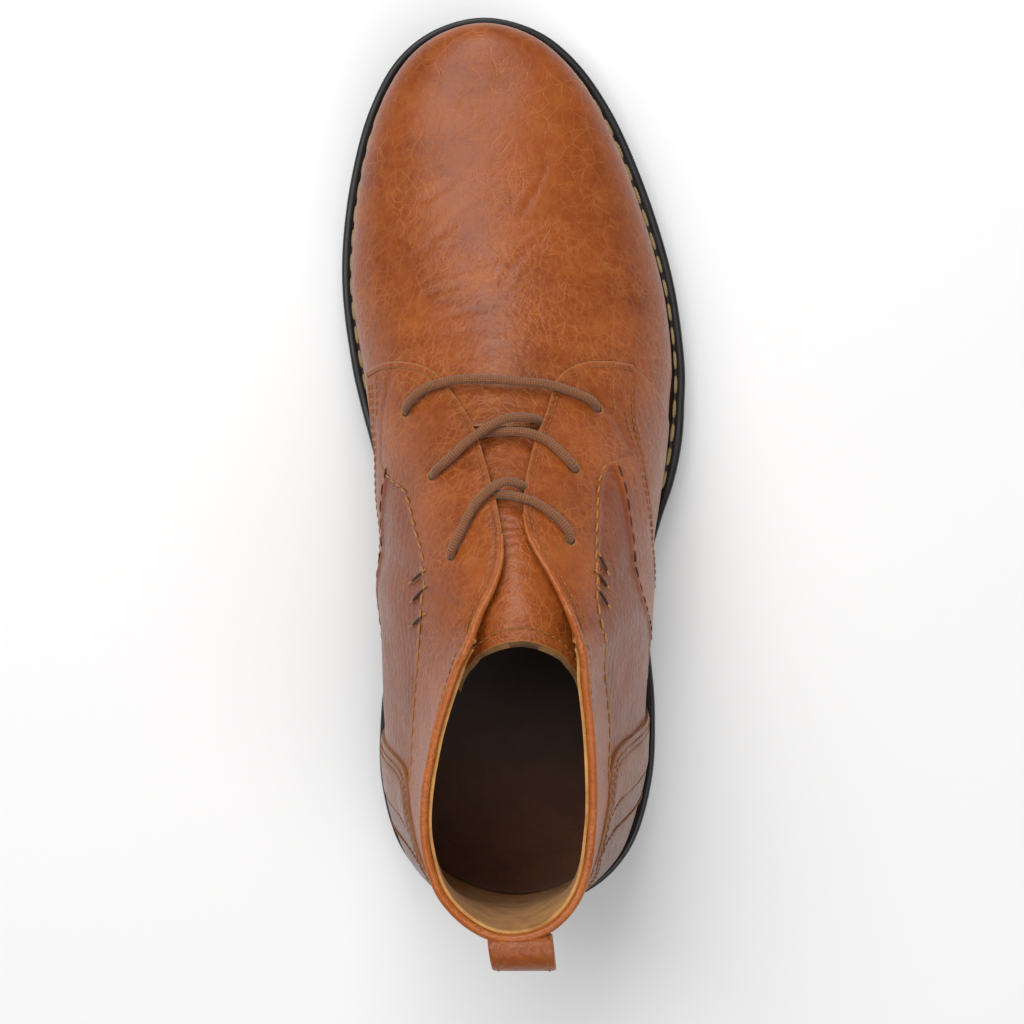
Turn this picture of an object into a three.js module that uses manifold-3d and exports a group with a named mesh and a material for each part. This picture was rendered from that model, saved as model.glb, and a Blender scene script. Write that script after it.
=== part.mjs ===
// Chukka boot for the right foot: a hollow last-shaped upper on a welted rubber sole and heel.
// Millimetres. +X is the outer side of the foot, +Y points to the toe and +Z is up.
// The origin is on the floor, at the centre of the sole's outline.

import * as THREE from 'three';
import { mergeVertices } from 'three/addons/utils/BufferGeometryUtils.js';
import Module from 'manifold-3d';

const wasm = await Module();
wasm.setup();

// Driving sizes of the whole boot
const soleLength = 292;
const ballWidth = 113.4;
const collarHeight = 124;

// Sole and heel
const heelHeight = 19;
const heelSeatThickness = 7.5;
const ballThickness = 12;
const toeSpring = 9;
const heelBreast = 0.265;
const heelTaper = 1.6;
const archEnd = 0.5;
const rollStart = 0.73;
const grooveDepth = 3;
const grooveWidth = 4.5;
const treadMargin = 9;
const forefootGrooves = 7;
const heelGrooves = 3;

// Welt, insole and upper
const weltThickness = 3.2;
const weltShelf = 8;
const weltBead = 1.1;
const rimWidth = 7;
const insoleThickness = 3.5;
const upperWall = 2;
const quarterThickness = 1.6;
const counterThickness = 1.3;
const tongueThickness = 2.2;
const eyeletDiameter = 4.6;
const laceDiameter = 3;
const loopWidth = 18;
const loopThickness = 2;
const loopReach = 9.4;

// Clearance between pieces that touch
const gap = 0.3;

// Steps of the curved faces
const stepsPerRib = 2;
const stepsUp = 9;

const table = (columns, rows) => {
  const names = columns.split(' ');
  return rows.map((row) => Object.fromEntries(names.map((name, k) => [name, row[k]])));
};

// Sole outline, one row for each rib from the back of the heel to the tip of the toe:
// place along the sole length, inner and outer reach as shares of the ball width,
// and the share of the rim width that the upper is set back from the edge.
const soleEdge = table('along inner outer rim', [
  [0.0000, 0.000, 0.000, 0.74],
  [0.0205, -0.198, 0.198, 0.78],
  [0.0685, -0.326, 0.326, 0.80],
  [0.1438, -0.385, 0.388, 0.78],
  [0.2260, -0.386, 0.398, 0.72],
  [0.3082, -0.358, 0.382, 0.60],
  [0.3767, -0.340, 0.382, 0.62],
  [0.4315, -0.359, 0.418, 0.84],
  [0.4795, -0.394, 0.460, 1.02],
  [0.5240, -0.424, 0.484, 1.06],
  [0.5685, -0.455, 0.492, 1.00],
  [0.6164, -0.4815, 0.492, 0.96],
  [0.6918, -0.506, 0.467, 0.95],
  [0.7603, -0.5035, 0.423, 1.00],
  [0.8322, -0.476, 0.357, 1.00],
  [0.8973, -0.428, 0.278, 1.00],
  [0.9521, -0.350, 0.176, 1.00],
  [0.9863, -0.238, 0.058, 1.00],
  [1.0000, -0.0926, -0.0926, 1.00],
]);

// Collar line from the back of the heel to the front of the ankle, on the first ribs:
// shares of the sole length, the ball width and the collar height.
const collarLine = table('along inner outer height', [
  [0.0320, -0.015, -0.015, 1.000],
  [0.0420, -0.103, 0.080, 0.992],
  [0.0755, -0.187, 0.152, 0.976],
  [0.1336, -0.224, 0.181, 0.956],
  [0.2055, -0.205, 0.181, 0.944],
  [0.2740, -0.155, 0.164, 0.946],
  [0.3150, -0.103, 0.145, 0.952],
  [0.3253, 0.013, 0.013, 0.970],
]);

// Ridge of the instep, vamp and toe, on the ribs from the front of the ankle to the toe:
// shares of the sole length, the ball width and the collar height.
const ridgeLine = table('along across height', [
  [0.3253, 0.013, 0.970],
  [0.3801, -0.004, 0.899],
  [0.4418, -0.015, 0.810],
  [0.5068, -0.026, 0.700],
  [0.5719, -0.040, 0.595],
  [0.6610, -0.053, 0.494],
  [0.7363, -0.063, 0.441],
  [0.7945, -0.074, 0.412],
  [0.8356, -0.082, 0.394],
  [0.8630, -0.088, 0.382],
  [0.8784, -0.092, 0.375],
  [0.8836, -0.0926, 0.372],
]);

// Fullness of each rib. The lower control point stands out from the feather edge by swell
// and above it by rise. The upper one stands out from the top line by shoulder and below it
// by drop, and on the ridge it lies nearer to the toe by lead. Swells and shoulders are shares
// of the ball width, rise and drop of the collar height, and lead of the sole length.
const fullness = table('swellIn swellOut rise shoulderIn shoulderOut drop lead', [
  [0.024, 0.024, 0.225, -0.026, -0.026, 0.270, 0.000],
  [0.034, 0.010, 0.225, -0.020, -0.024, 0.270, 0.000],
  [0.040, 0.006, 0.225, -0.006, -0.010, 0.270, 0.000],
  [0.046, 0.006, 0.225, 0.010, 0.008, 0.270, 0.000],
  [0.072, 0.020, 0.225, 0.030, 0.026, 0.270, 0.000],
  [0.140, 0.078, 0.225, 0.070, 0.058, 0.250, 0.000],
  [0.200, 0.106, 0.235, 0.125, 0.098, 0.200, 0.006],
  [0.198, 0.092, 0.240, 0.168, 0.165, 0.000, 0.034],
  [0.178, 0.080, 0.240, 0.172, 0.175, 0.000, 0.024],
  [0.140, 0.080, 0.230, 0.180, 0.185, 0.000, 0.012],
  [0.112, 0.085, 0.210, 0.190, 0.200, 0.000, 0.004],
  [0.095, 0.090, 0.190, 0.205, 0.220, 0.000, 0.000],
  [0.105, 0.095, 0.170, 0.230, 0.240, 0.000, 0.000],
  [0.105, 0.095, 0.160, 0.235, 0.240, 0.000, 0.000],
  [0.100, 0.092, 0.160, 0.230, 0.230, 0.000, 0.000],
  [0.095, 0.090, 0.160, 0.220, 0.220, 0.000, 0.000],
  [0.088, 0.088, 0.160, 0.210, 0.210, 0.000, 0.000],
  [0.082, 0.082, 0.160, 0.200, 0.200, 0.000, 0.000],
  [0.080, 0.080, 0.160, 0.196, 0.196, 0.000, 0.000],
]);

const lastRib = soleEdge.length - 1;
const ankleRib = collarLine.length - 1;

// Smooth curve through four neighbouring values, between the middle two
function through(before, start, end, after, t) {
  const leave = (end - before) / 2;
  const arrive = (after - start) / 2;
  const cubic = 2 * start - 2 * end + leave + arrive;
  const square = 3 * end - 3 * start - 2 * leave - arrive;
  return ((cubic * t + square) * t + leave) * t + start;
}

function curveOf(pick) {
  return (q) => {
    const k = Math.floor(q);
    return through(pick(k - 1), pick(k), pick(k + 1), pick(k + 2), q - k);
  };
}

// Curve once round the boot: ribs above 0 are on the outer side, below 0 on the inner side
function roundBoot(rows, innerName, outerName) {
  const turn = 2 * (rows.length - 1);
  return curveOf((k) => {
    const place = ((k % turn) + turn) % turn;
    return place < rows.length ? rows[place][outerName] : rows[turn - place][innerName];
  });
}

// Curve along the collar, carried straight on past the front of the ankle
function alongCollar(innerName, outerName) {
  const pick = (k) => {
    const row = Math.abs(k);
    if (row > ankleRib) {
      return 2 * pick(Math.sign(k) * ankleRib) - pick(Math.sign(k) * (2 * ankleRib - row));
    }
    return collarLine[row][k < 0 ? innerName : outerName];
  };
  return curveOf(pick);
}

// Curve along the ridge, which turns back on itself at the toe
function alongRidge(name) {
  const last = ridgeLine.length - 1;
  const pick = (k) => {
    if (k < 0) {
      return 2 * ridgeLine[0][name] - ridgeLine[-k][name];
    }
    return ridgeLine[k > last ? 2 * last - k : k][name];
  };
  return curveOf(pick);
}

const edgeAlong = roundBoot(soleEdge, 'along', 'along');
const edgeAcross = roundBoot(soleEdge, 'inner', 'outer');
const rimShare = roundBoot(soleEdge, 'rim', 'rim');
const swell = roundBoot(fullness, 'swellIn', 'swellOut');
const rise = roundBoot(fullness, 'rise', 'rise');
const shoulder = roundBoot(fullness, 'shoulderIn', 'shoulderOut');
const drop = roundBoot(fullness, 'drop', 'drop');
const lead = roundBoot(fullness, 'lead', 'lead');
const collarAlong = alongCollar('along', 'along');
const collarAcross = alongCollar('inner', 'outer');
const collarRise = alongCollar('height', 'height');
const ridgeAlong = alongRidge('along');
const ridgeAcross = alongRidge('across');
const ridgeRise = alongRidge('height');

const smooth = (from, to, value) => {
  const t = Math.min(1, Math.max(0, (value - from) / (to - from)));
  return t * t * (3 - 2 * t);
};

// Heights of the sole at a place y along it: the tread lies flat under the ball, rises to the
// heel block behind it and springs up to the toe in front, and the seat lies above the tread.
const seatStart = heelBreast - 0.05;
const seatEnd = archEnd + 0.08;
const roll = (share) => Math.max(0, (share - rollStart) / (1 - rollStart)) ** 2;
const treadLine = (y) => {
  const share = y / soleLength;
  return heelHeight * (1 - smooth(heelBreast + 0.005, archEnd, share)) + toeSpring * roll(share);
};
const seatLine = (y) => {
  const share = y / soleLength;
  const back = 1 - smooth(seatStart, seatEnd, share);
  const thickness = heelSeatThickness * back + ballThickness * (1 - back);
  return heelHeight * back + thickness + toeSpring * roll(share);
};
const weltTop = (y) => seatLine(y) + gap + weltThickness;
const featherLine = (y) => weltTop(y) + gap;

// Point of the sole outline at rib q, with its outward direction on the floor
const edgePoint = (q) => new THREE.Vector2(edgeAcross(q) * ballWidth, edgeAlong(q) * soleLength);
const edgeOut = (q) => {
  const step = 0.02;
  const along = edgePoint(q + step).sub(edgePoint(q - step)).normalize();
  return new THREE.Vector2(along.y, -along.x);
};
const insetPoint = (q, inset) => edgePoint(q).addScaledVector(edgeOut(q), -inset);

// Top of rib q: on the collar behind the front of the ankle, and on the ridge before it
function topPoint(q) {
  const row = Math.abs(q);
  if (row <= ankleRib) {
    return new THREE.Vector3(
      collarAcross(q) * ballWidth, collarAlong(q) * soleLength, collarRise(q) * collarHeight);
  }
  const k = row - ankleRib;
  return new THREE.Vector3(
    ridgeAcross(k) * ballWidth, ridgeAlong(k) * soleLength, ridgeRise(k) * collarHeight);
}

// Slope of the ridge in the lengthwise plane
function ridgeSlope(q) {
  const step = 0.05;
  const k = Math.min(ridgeLine.length - 1 - step, Math.max(step, Math.abs(q) - ankleRib));
  const length = (ridgeAlong(k + step) - ridgeAlong(k - step)) * soleLength;
  return (ridgeRise(k + step) - ridgeRise(k - step)) * collarHeight / length;
}

// Outer form of the last: a cubic curve from the feather edge, v = 0, to the top line, v = 1
function formPoint(q, v) {
  const out = edgeOut(q);
  const foot = insetPoint(q, rimShare(q) * rimWidth);
  const low = new THREE.Vector3(foot.x, foot.y, featherLine(foot.y));
  const top = topPoint(q);
  const lowControl = low.clone().add(new THREE.Vector3(out.x, out.y, 0)
    .multiplyScalar(swell(q) * ballWidth));
  lowControl.z += rise(q) * collarHeight;
  const reach = shoulder(q) * ballWidth;
  const onRidge = smooth(ankleRib - 1, ankleRib, Math.abs(q));
  const topControl = top.clone().add(new THREE.Vector3(out.x, out.y, 0).multiplyScalar(reach));
  const ahead = lead(q) * soleLength;
  topControl.y += ahead;
  topControl.z += onRidge * ridgeSlope(q) * (out.y * reach + ahead) - drop(q) * collarHeight;
  return new THREE.CubicBezierCurve3(low, lowControl, topControl, top).getPoint(v);
}

// Outward normal of the form: level at the feather edge, and across the ridge at the top
function formNormal(q, v) {
  const level = new THREE.Vector3(edgeOut(q).x, edgeOut(q).y, 0);
  if (v > 0.999 && Math.abs(q) >= ankleRib) {
    return new THREE.Vector3(0, -ridgeSlope(q), 1).normalize();
  }
  const step = 0.01;
  const high = Math.min(1, v + step);
  const lower = Math.max(0, v - step);
  const round = formPoint(q + step, v).sub(formPoint(q - step, v));
  const up = formPoint(q, high).sub(formPoint(q, lower));
  const normal = round.cross(up).normalize();
  const share = smooth(0, 0.2, v);
  return normal.multiplyScalar(share).addScaledVector(level, 1 - share).normalize();
}

const offsetPoint = (q, v, offset) => formPoint(q, v).addScaledVector(formNormal(q, v), offset);

// Point of the offset form above a place on the floor plan, found by walking down the slope
// of the distance over q and v from the nearest point of a coarse search
function pointAbove(x, y, offset) {
  const distance = (q, v) => {
    const point = offsetPoint(q, v, offset);
    return Math.hypot(point.x - x, point.y - y);
  };
  let best = { q: 0, v: 1, far: Infinity };
  for (let q = -lastRib; q <= lastRib; q += 0.5) {
    for (let v = 0.4; v <= 1.001; v += 0.05) {
      const far = distance(q, Math.min(1, v));
      if (far < best.far) {
        best = { q, v: Math.min(1, v), far };
      }
    }
  }
  for (let step = 0.25; step > 0.001; step *= 0.6) {
    for (const [dq, dv] of [[step, 0], [-step, 0], [0, step / 6], [0, -step / 6]]) {
      const q = best.q + dq;
      const v = Math.min(1, Math.max(0, best.v + dv));
      const far = distance(q, v);
      if (far < best.far) {
        best = { q, v, far };
      }
    }
  }
  const point = offsetPoint(best.q, best.v, offset);
  return { point, normal: formNormal(best.q, best.v) };
}

// Solids from meshes

// Closed geometry from a list of quads of points, with shared corners merged
function geometryOf(quads) {
  const positions = [];
  const push = (a, b, c) => positions.push(...a.toArray(), ...b.toArray(), ...c.toArray());
  for (const [a, b, c, d] of quads) {
    push(a, b, c);
    if (d) {
      push(a, c, d);
    }
  }
  const geometry = new THREE.BufferGeometry();
  geometry.setAttribute('position', new THREE.Float32BufferAttribute(positions, 3));
  return geometry;
}

function solidOf(geometry) {
  const bare = geometry.clone();
  bare.deleteAttribute('normal');
  bare.deleteAttribute('uv');
  const merged = mergeVertices(bare, 1e-3);
  const index = merged.index.array;
  const corners = [];
  for (let k = 0; k < index.length; k += 3) {
    const [a, b, c] = [index[k], index[k + 1], index[k + 2]];
    if (a !== b && b !== c && c !== a) {
      corners.push(a, b, c);
    }
  }
  return new wasm.Manifold(new wasm.Mesh({
    numProp: 3,
    vertProperties: new Float32Array(merged.attributes.position.array),
    triVerts: new Uint32Array(corners),
  }));
}

function geometryFrom(solid) {
  const mesh = solid.getMesh();
  const geometry = new THREE.BufferGeometry();
  geometry.setAttribute('position', new THREE.BufferAttribute(mesh.vertProperties, 3));
  geometry.setIndex(new THREE.BufferAttribute(mesh.triVerts, 1));
  geometry.computeVertexNormals();
  return geometry;
}

// Values of q once round the boot, from the toe by the inner side and back by the outer side
const roundSteps = 2 * lastRib * stepsPerRib;
const ribAt = (i) => -lastRib + i / stepsPerRib;

// Closed wall between two offsets of the form, open underneath and at the collar
function wallBetween(outer, inner) {
  const skin = (offset) => Array.from({ length: roundSteps + 1 }, (_, i) =>
    Array.from({ length: stepsUp + 1 }, (_, j) => offsetPoint(ribAt(i), j / stepsUp, offset)));
  const far = skin(outer);
  const near = skin(inner);
  const quads = [];
  for (let i = 0; i < roundSteps; i++) {
    for (let j = 0; j < stepsUp; j++) {
      quads.push([far[i][j], far[i + 1][j], far[i + 1][j + 1], far[i][j + 1]]);
      quads.push([near[i][j], near[i][j + 1], near[i + 1][j + 1], near[i + 1][j]]);
    }
    quads.push([far[i][0], near[i][0], near[i + 1][0], far[i + 1][0]]);
    if (Math.abs(ribAt(i + 0.5)) < ankleRib) {
      const j = stepsUp;
      quads.push([far[i][j], far[i + 1][j], near[i + 1][j], near[i][j]]);
    }
  }
  return solidOf(geometryOf(quads));
}

// Plate between two heights inside the sole outline, from rib 0 to the rib toRib:
// rungs run straight across between the same rib of both sides.
function plateOf(insetLow, insetHigh, low, high, toRib = lastRib) {
  const rungs = Math.round(toRib * stepsPerRib);
  const across = 3;
  const rung = (i, inset, height) => Array.from({ length: across + 1 }, (_, j) => {
    const q = toRib * i / rungs;
    const left = insetPoint(-q, inset(q));
    const right = insetPoint(q, inset(q));
    const place = left.lerp(right, j / across);
    return new THREE.Vector3(place.x, place.y, height(place.y));
  });
  const quads = [];
  for (let i = 0; i < rungs; i++) {
    const [bottom, nextBottom] = [rung(i, insetLow, low), rung(i + 1, insetLow, low)];
    const [top, nextTop] = [rung(i, insetHigh, high), rung(i + 1, insetHigh, high)];
    for (let j = 0; j < across; j++) {
      quads.push([top[j], top[j + 1], nextTop[j + 1], nextTop[j]]);
      quads.push([bottom[j], nextBottom[j], nextBottom[j + 1], bottom[j + 1]]);
    }
    quads.push([bottom[0], top[0], nextTop[0], nextBottom[0]]);
    quads.push([bottom[across], nextBottom[across], nextTop[across], top[across]]);
  }
  if (toRib < lastRib) {
    const [bottom, top] = [rung(rungs, insetLow, low), rung(rungs, insetHigh, high)];
    for (let j = 0; j < across; j++) {
      quads.push([bottom[j], top[j], top[j + 1], bottom[j + 1]]);
    }
  }
  return solidOf(geometryOf(quads));
}

// Closed ring round the boot: profile(q) lists the corners of its section as [inset, height]
function ringOf(profile) {
  const quads = [];
  const section = (i) => profile(ribAt(i)).map(([inset, height]) => {
    const place = insetPoint(ribAt(i), inset);
    return new THREE.Vector3(place.x, place.y, height);
  });
  for (let i = 0; i < roundSteps; i++) {
    const [here, next] = [section(i), section(i + 1)];
    here.forEach((corner, k) => {
      const m = (k + 1) % here.length;
      quads.push([corner, here[m], next[m], next[k]]);
    });
  }
  return solidOf(geometryOf(quads));
}

// Upright prism over an outline on the floor plan, higher than the boot
function prismOver(outline) {
  const shape = new THREE.Shape(outline);
  const geometry = new THREE.ExtrudeGeometry(shape, { depth: 2 * collarHeight, bevelEnabled: false });
  return solidOf(geometry);
}

// Prism across the boot over an outline in the side view, given as [y, z]
function prismAcross(outline, width) {
  const shape = new THREE.Shape(outline);
  const geometry = new THREE.ExtrudeGeometry(shape, { depth: width, bevelEnabled: false });
  geometry.translate(0, 0, -width / 2);
  geometry.applyMatrix4(new THREE.Matrix4().makeBasis(
    new THREE.Vector3(0, 1, 0), new THREE.Vector3(0, 0, 1), new THREE.Vector3(1, 0, 0)));
  return solidOf(geometry);
}

const planPoint = (row) => new THREE.Vector2(row.across * ballWidth, row.along * soleLength);
const planCurve = (rows, steps) => new THREE.SplineCurve(rows.map(planPoint)).getPoints(steps);

// Front edges of the quarters on the floor plan, from the collar down the facing, round the
// front and back to the sole at the waist: shares of the ball width and the sole length.
const outerQuarterEdge = table('across along', [
  [0.120, 0.285],
  [0.142, 0.308],
  [0.145, 0.324],
  [0.128, 0.345],
  [0.092, 0.374],
  [0.032, 0.416],
  [0.017, 0.442],
  [0.022, 0.474],
  [0.046, 0.515],
  [0.076, 0.545],
  [0.106, 0.582],
  [0.150, 0.597],
  [0.215, 0.604],
  [0.320, 0.601],
  [0.400, 0.575],
  [0.470, 0.520],
  [0.580, 0.430],
]);
const innerQuarterEdge = table('across along', [
  [-0.080, 0.285],
  [-0.100, 0.308],
  [-0.103, 0.324],
  [-0.088, 0.344],
  [-0.057, 0.368],
  [-0.037, 0.394],
  [-0.036, 0.420],
  [-0.049, 0.450],
  [-0.070, 0.480],
  [-0.110, 0.530],
  [-0.175, 0.572],
  [-0.235, 0.596],
  [-0.330, 0.606],
  [-0.410, 0.598],
  [-0.460, 0.572],
  [-0.520, 0.520],
  [-0.600, 0.430],
]);

// Throat of the lining, set back a little behind the facings and rounded at its base
const throatEdge = table('across along', [
  [-0.070, 0.285],
  [-0.078, 0.312],
  [-0.094, 0.336],
  [-0.078, 0.362],
  [-0.054, 0.396],
  [-0.052, 0.424],
  [-0.064, 0.450],
  [-0.082, 0.480],
  [-0.117, 0.524],
  [-0.120, 0.556],
  [-0.040, 0.574],
  [0.045, 0.556],
  [0.062, 0.524],
  [0.040, 0.477],
  [0.032, 0.445],
  [0.046, 0.416],
  [0.122, 0.362],
  [0.128, 0.338],
  [0.121, 0.312],
  [0.112, 0.285],
]);

// Tongue outline on the floor plan, with a round top edge at the collar
const tongueEdge = table('across along', [
  [-0.200, 0.610],
  [-0.235, 0.520],
  [-0.215, 0.430],
  [-0.150, 0.358],
  [-0.082, 0.326],
  [0.013, 0.314],
  [0.110, 0.326],
  [0.185, 0.358],
  [0.205, 0.430],
  [0.190, 0.520],
  [0.120, 0.610],
]);

// Counter in the side view: its top edge runs level round the back and falls to the waist
const counterEdge = table('along height', [
  [0.245, 0.200],
  [0.238, 0.300],
  [0.215, 0.480],
  [0.190, 0.680],
  [0.160, 0.780],
  [0.090, 0.810],
  [-0.100, 0.820],
]);

// Eyelets of each side, from the front one to the one at the collar
const outerEyelets = table('across along', [
  [0.224, 0.555],
  [0.155, 0.486],
  [0.140, 0.414],
]);
const innerEyelets = table('across along', [
  [-0.298, 0.551],
  [-0.219, 0.476],
  [-0.167, 0.401],
]);

const quarterInner = gap;
const quarterOuter = quarterInner + quarterThickness;
const counterInner = quarterOuter + gap;
const counterOuter = counterInner + counterThickness;
const tongueOuter = -upperWall - gap;

// Round cutter through the wall at an eyelet, square to the form
function eyeletCutter(row) {
  const place = planPoint(row);
  const { point, normal } = pointAbove(place.x, place.y, 0);
  const depth = 4 * (upperWall + quarterThickness);
  const geometry = new THREE.CylinderGeometry(eyeletDiameter / 2, eyeletDiameter / 2, depth, 10);
  geometry.applyQuaternion(new THREE.Quaternion().setFromUnitVectors(
    new THREE.Vector3(0, 1, 0), normal));
  geometry.translate(point.x, point.y, point.z);
  return solidOf(geometry);
}

function punch(solid, rows) {
  return rows.reduce((rest, row) => rest.subtract(eyeletCutter(row)), solid);
}

function makeUpper() {
  const throat = prismOver(planCurve(throatEdge, 40));
  const wall = wallBetween(0, -upperWall).subtract(throat);
  return punch(punch(wall, outerEyelets), innerEyelets);
}

// One quarter: the overlay wall behind its front edge, on one side of the back seam
function makeQuarter(edgeRows, eyelets, side) {
  const seam = side * gap / 2;
  const beside = side * ballWidth;
  const outline = [
    ...planCurve(edgeRows, 36),
    new THREE.Vector2(beside, 0.43 * soleLength),
    new THREE.Vector2(beside, -0.1 * soleLength),
    new THREE.Vector2(seam, -0.1 * soleLength),
    new THREE.Vector2(seam, 0.16 * soleLength),
  ];
  const region = prismOver(outline);
  return punch(wallBetween(quarterOuter, quarterInner).intersect(region), eyelets);
}

function makeCounter() {
  const edge = counterEdge.map((row) =>
    new THREE.Vector2(row.along * soleLength, row.height * collarHeight));
  const outline = [
    ...new THREE.SplineCurve(edge).getPoints(18),
    new THREE.Vector2(-0.1 * soleLength, 0.2 * collarHeight),
  ];
  const region = prismAcross(outline, 2 * ballWidth);
  return wallBetween(counterOuter, counterInner).intersect(region);
}

function makeTongue() {
  const region = prismOver(planCurve(tongueEdge, 30));
  const wall = wallBetween(tongueOuter, tongueOuter - tongueThickness);
  return wall.intersect(region);
}

function makeInsole() {
  const inset = (q) => rimShare(q) * rimWidth + upperWall + 2 * gap;
  const low = (y) => weltTop(y) + gap;
  return plateOf(inset, inset, low, (y) => low(y) + insoleThickness);
}

// Welt: a flat strip with a rounded outer edge and a low bead against the upper
function makeWelt() {
  return ringOf((q) => {
    const height = (inset) => weltTop(insetPoint(q, inset).y);
    const stand = rimShare(q) * rimWidth - quarterOuter - gap - weltBead;
    const bead = Math.max(weltBead, stand);
    const inner = rimShare(q) * rimWidth + weltShelf;
    const base = (inset) => height(inset) - weltThickness;
    const round = weltThickness / 4;
    return [
      [inner, base(inner)],
      [inner, height(inner)],
      [bead + weltBead, height(bead + weltBead)],
      [bead, height(bead) - round],
      [round, height(round) - round / 2],
      [0, height(0) - 2 * round],
      [0, base(0)],
    ];
  });
}

// Chevron groove across the tread at the place y, following its height
function grooveAt(y, depth) {
  const wing = ballWidth;
  const sweep = 2 * grooveWidth;
  const outline = [
    new THREE.Vector2(-wing / 2, y - sweep),
    new THREE.Vector2(0, y),
    new THREE.Vector2(wing / 2, y - sweep),
    new THREE.Vector2(wing / 2, y - sweep + grooveWidth),
    new THREE.Vector2(0, y + grooveWidth),
    new THREE.Vector2(-wing / 2, y - sweep + grooveWidth),
  ];
  const deep = 4 * depth;
  const geometry = new THREE.ExtrudeGeometry(new THREE.Shape(outline),
    { depth: deep, bevelEnabled: false });
  geometry.translate(0, 0, treadLine(y) + depth - deep);
  return solidOf(geometry);
}

// Grooves that stop short of the edge of the sole
function treadGrooves(from, to, count, depth) {
  const margin = prismOver(Array.from({ length: 2 * roundSteps / stepsPerRib }, (_, i) =>
    insetPoint(ribAt(i * stepsPerRib / 2), treadMargin))).translate([0, 0, -collarHeight]);
  const grooves = Array.from({ length: count }, (_, i) =>
    grooveAt(THREE.MathUtils.lerp(from, to, i / (count - 1)) * soleLength, depth));
  return grooves.map((groove) => groove.intersect(margin));
}

function makeOutsole() {
  const flush = () => 0;
  const plate = plateOf(flush, flush, treadLine, seatLine);
  const grooves = treadGrooves(archEnd + 0.06, 0.93, forefootGrooves, grooveDepth);
  return grooves.reduce((rest, groove) => rest.subtract(groove), plate);
}

function breastRib() {
  let q = 1;
  while (edgeAlong(q) < heelBreast && q < ankleRib) {
    q += 1 / 64;
  }
  return q;
}

// Heel block, which narrows a little to the floor and has shallow grooves of its own
function makeHeel() {
  const topHeight = () => heelHeight - gap;
  const narrow = () => heelTaper;
  const flush = () => 0;
  const block = plateOf(narrow, flush, () => 0, topHeight, breastRib());
  const depth = 0.8 * grooveDepth;
  const places = Array.from({ length: heelGrooves }, (_, i) => (i + 1) / (heelGrooves + 1));
  return places.reduce((rest, place) => {
    const length = place * heelBreast * soleLength;
    const groove = new THREE.BoxGeometry(ballWidth, grooveWidth, 2 * depth);
    groove.translate(0, length, 0);
    return rest.subtract(solidOf(groove));
  }, block);
}

// Place along the boot of a back wall at a height: on rib q of the form with an offset
const backPlace = (q, height, offset) => {
  let v = 0;
  while (v < 1 && offsetPoint(q, v, offset).z < height) {
    v += 1 / 256;
  }
  return offsetPoint(q, Math.min(1, v), offset).y;
};

// Pull loop: a strap sewn down inside the collar, over its edge and back to the heel. The
// collar is round, so inside it the flat strap is held off by the wall beside its edges.
function makePullLoop() {
  let edgeRib = 0;
  while (offsetPoint(edgeRib, 1, -upperWall).x < loopWidth / 2) {
    edgeRib += 1 / 64;
  }
  const half = loopThickness / 2;
  const clear = gap + half;
  const inside = (height) => backPlace(edgeRib, height, -upperWall) + clear + gap;
  const outside = (height) => backPlace(0, height, counterOuter) - clear;
  const top = topPoint(0).z;
  const wallOut = offsetPoint(0, 1, quarterOuter).y;
  const foot = 0.66 * collarHeight;
  const landing = 0.72 * collarHeight;
  const route = new THREE.SplineCurve([
    new THREE.Vector2(inside(top - 15), top - 15),
    new THREE.Vector2(inside(top - 8) + half / 4, top - 8),
    new THREE.Vector2(inside(top) + half / 3, top - half / 2),
    new THREE.Vector2(wallOut + half, top + 2.7 * half),
    new THREE.Vector2(wallOut - 0.55 * loopReach, top + half),
    new THREE.Vector2(wallOut - loopReach + half, top - 9),
    new THREE.Vector2(wallOut - 0.85 * loopReach, top - 21),
    new THREE.Vector2(outside(landing) - half / 2, landing),
    new THREE.Vector2(outside(foot), foot),
  ]);
  const middle = route.getSpacedPoints(28);
  const side = (sign) => middle.map((point, i) => {
    const ahead = middle[Math.min(i + 1, middle.length - 1)];
    const behind = middle[Math.max(i - 1, 0)];
    const along = ahead.clone().sub(behind).normalize();
    return new THREE.Vector2(point.x - sign * half * along.y, point.y + sign * half * along.x);
  });
  return prismAcross([...side(1), ...side(-1).reverse()], loopWidth);
}

// Lace strand between two places on the floor plan, lying on the quarters and bridging the
// throat at the same height, with a bow to the toe
function strandOf(from, to, bow, lift = 0) {
  const height = quarterOuter + 1.5 * gap + laceDiameter / 2;
  const steps = 6;
  const path = Array.from({ length: steps + 1 }, (_, i) => {
    const t = i / steps;
    const place = from.clone().lerp(to, t);
    place.y += bow * 4 * t * (1 - t);
    return pointAbove(place.x, place.y, height + lift * 4 * t * (1 - t)).point;
  });
  const round = new THREE.Shape().absarc(0, 0, laceDiameter / 2, 0, 2 * Math.PI);
  const geometry = new THREE.ExtrudeGeometry(round, {
    steps: 10,
    curveSegments: 4,
    bevelEnabled: false,
    extrudePath: new THREE.CatmullRomCurve3(path),
  });
  return solidOf(geometry);
}

const laceFacing = (edgeRows, share) =>
  new THREE.SplineCurve(edgeRows.map(planPoint)).getPoint(share);

function makeLaceBar() {
  return strandOf(planPoint(innerEyelets[0]), planPoint(outerEyelets[0]), 0.03 * soleLength);
}

// One crossing: a strand from the outer facing to the inner eyelet over one from the inner
// facing to the outer eyelet
function makeLaceCrossing(pair, facing) {
  const over = strandOf(laceFacing(outerQuarterEdge, facing), planPoint(innerEyelets[pair]),
    -0.004 * soleLength, laceDiameter / 2);
  const under = strandOf(laceFacing(innerQuarterEdge, facing), planPoint(outerEyelets[pair]),
    -0.004 * soleLength);
  return over.add(under);
}

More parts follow.
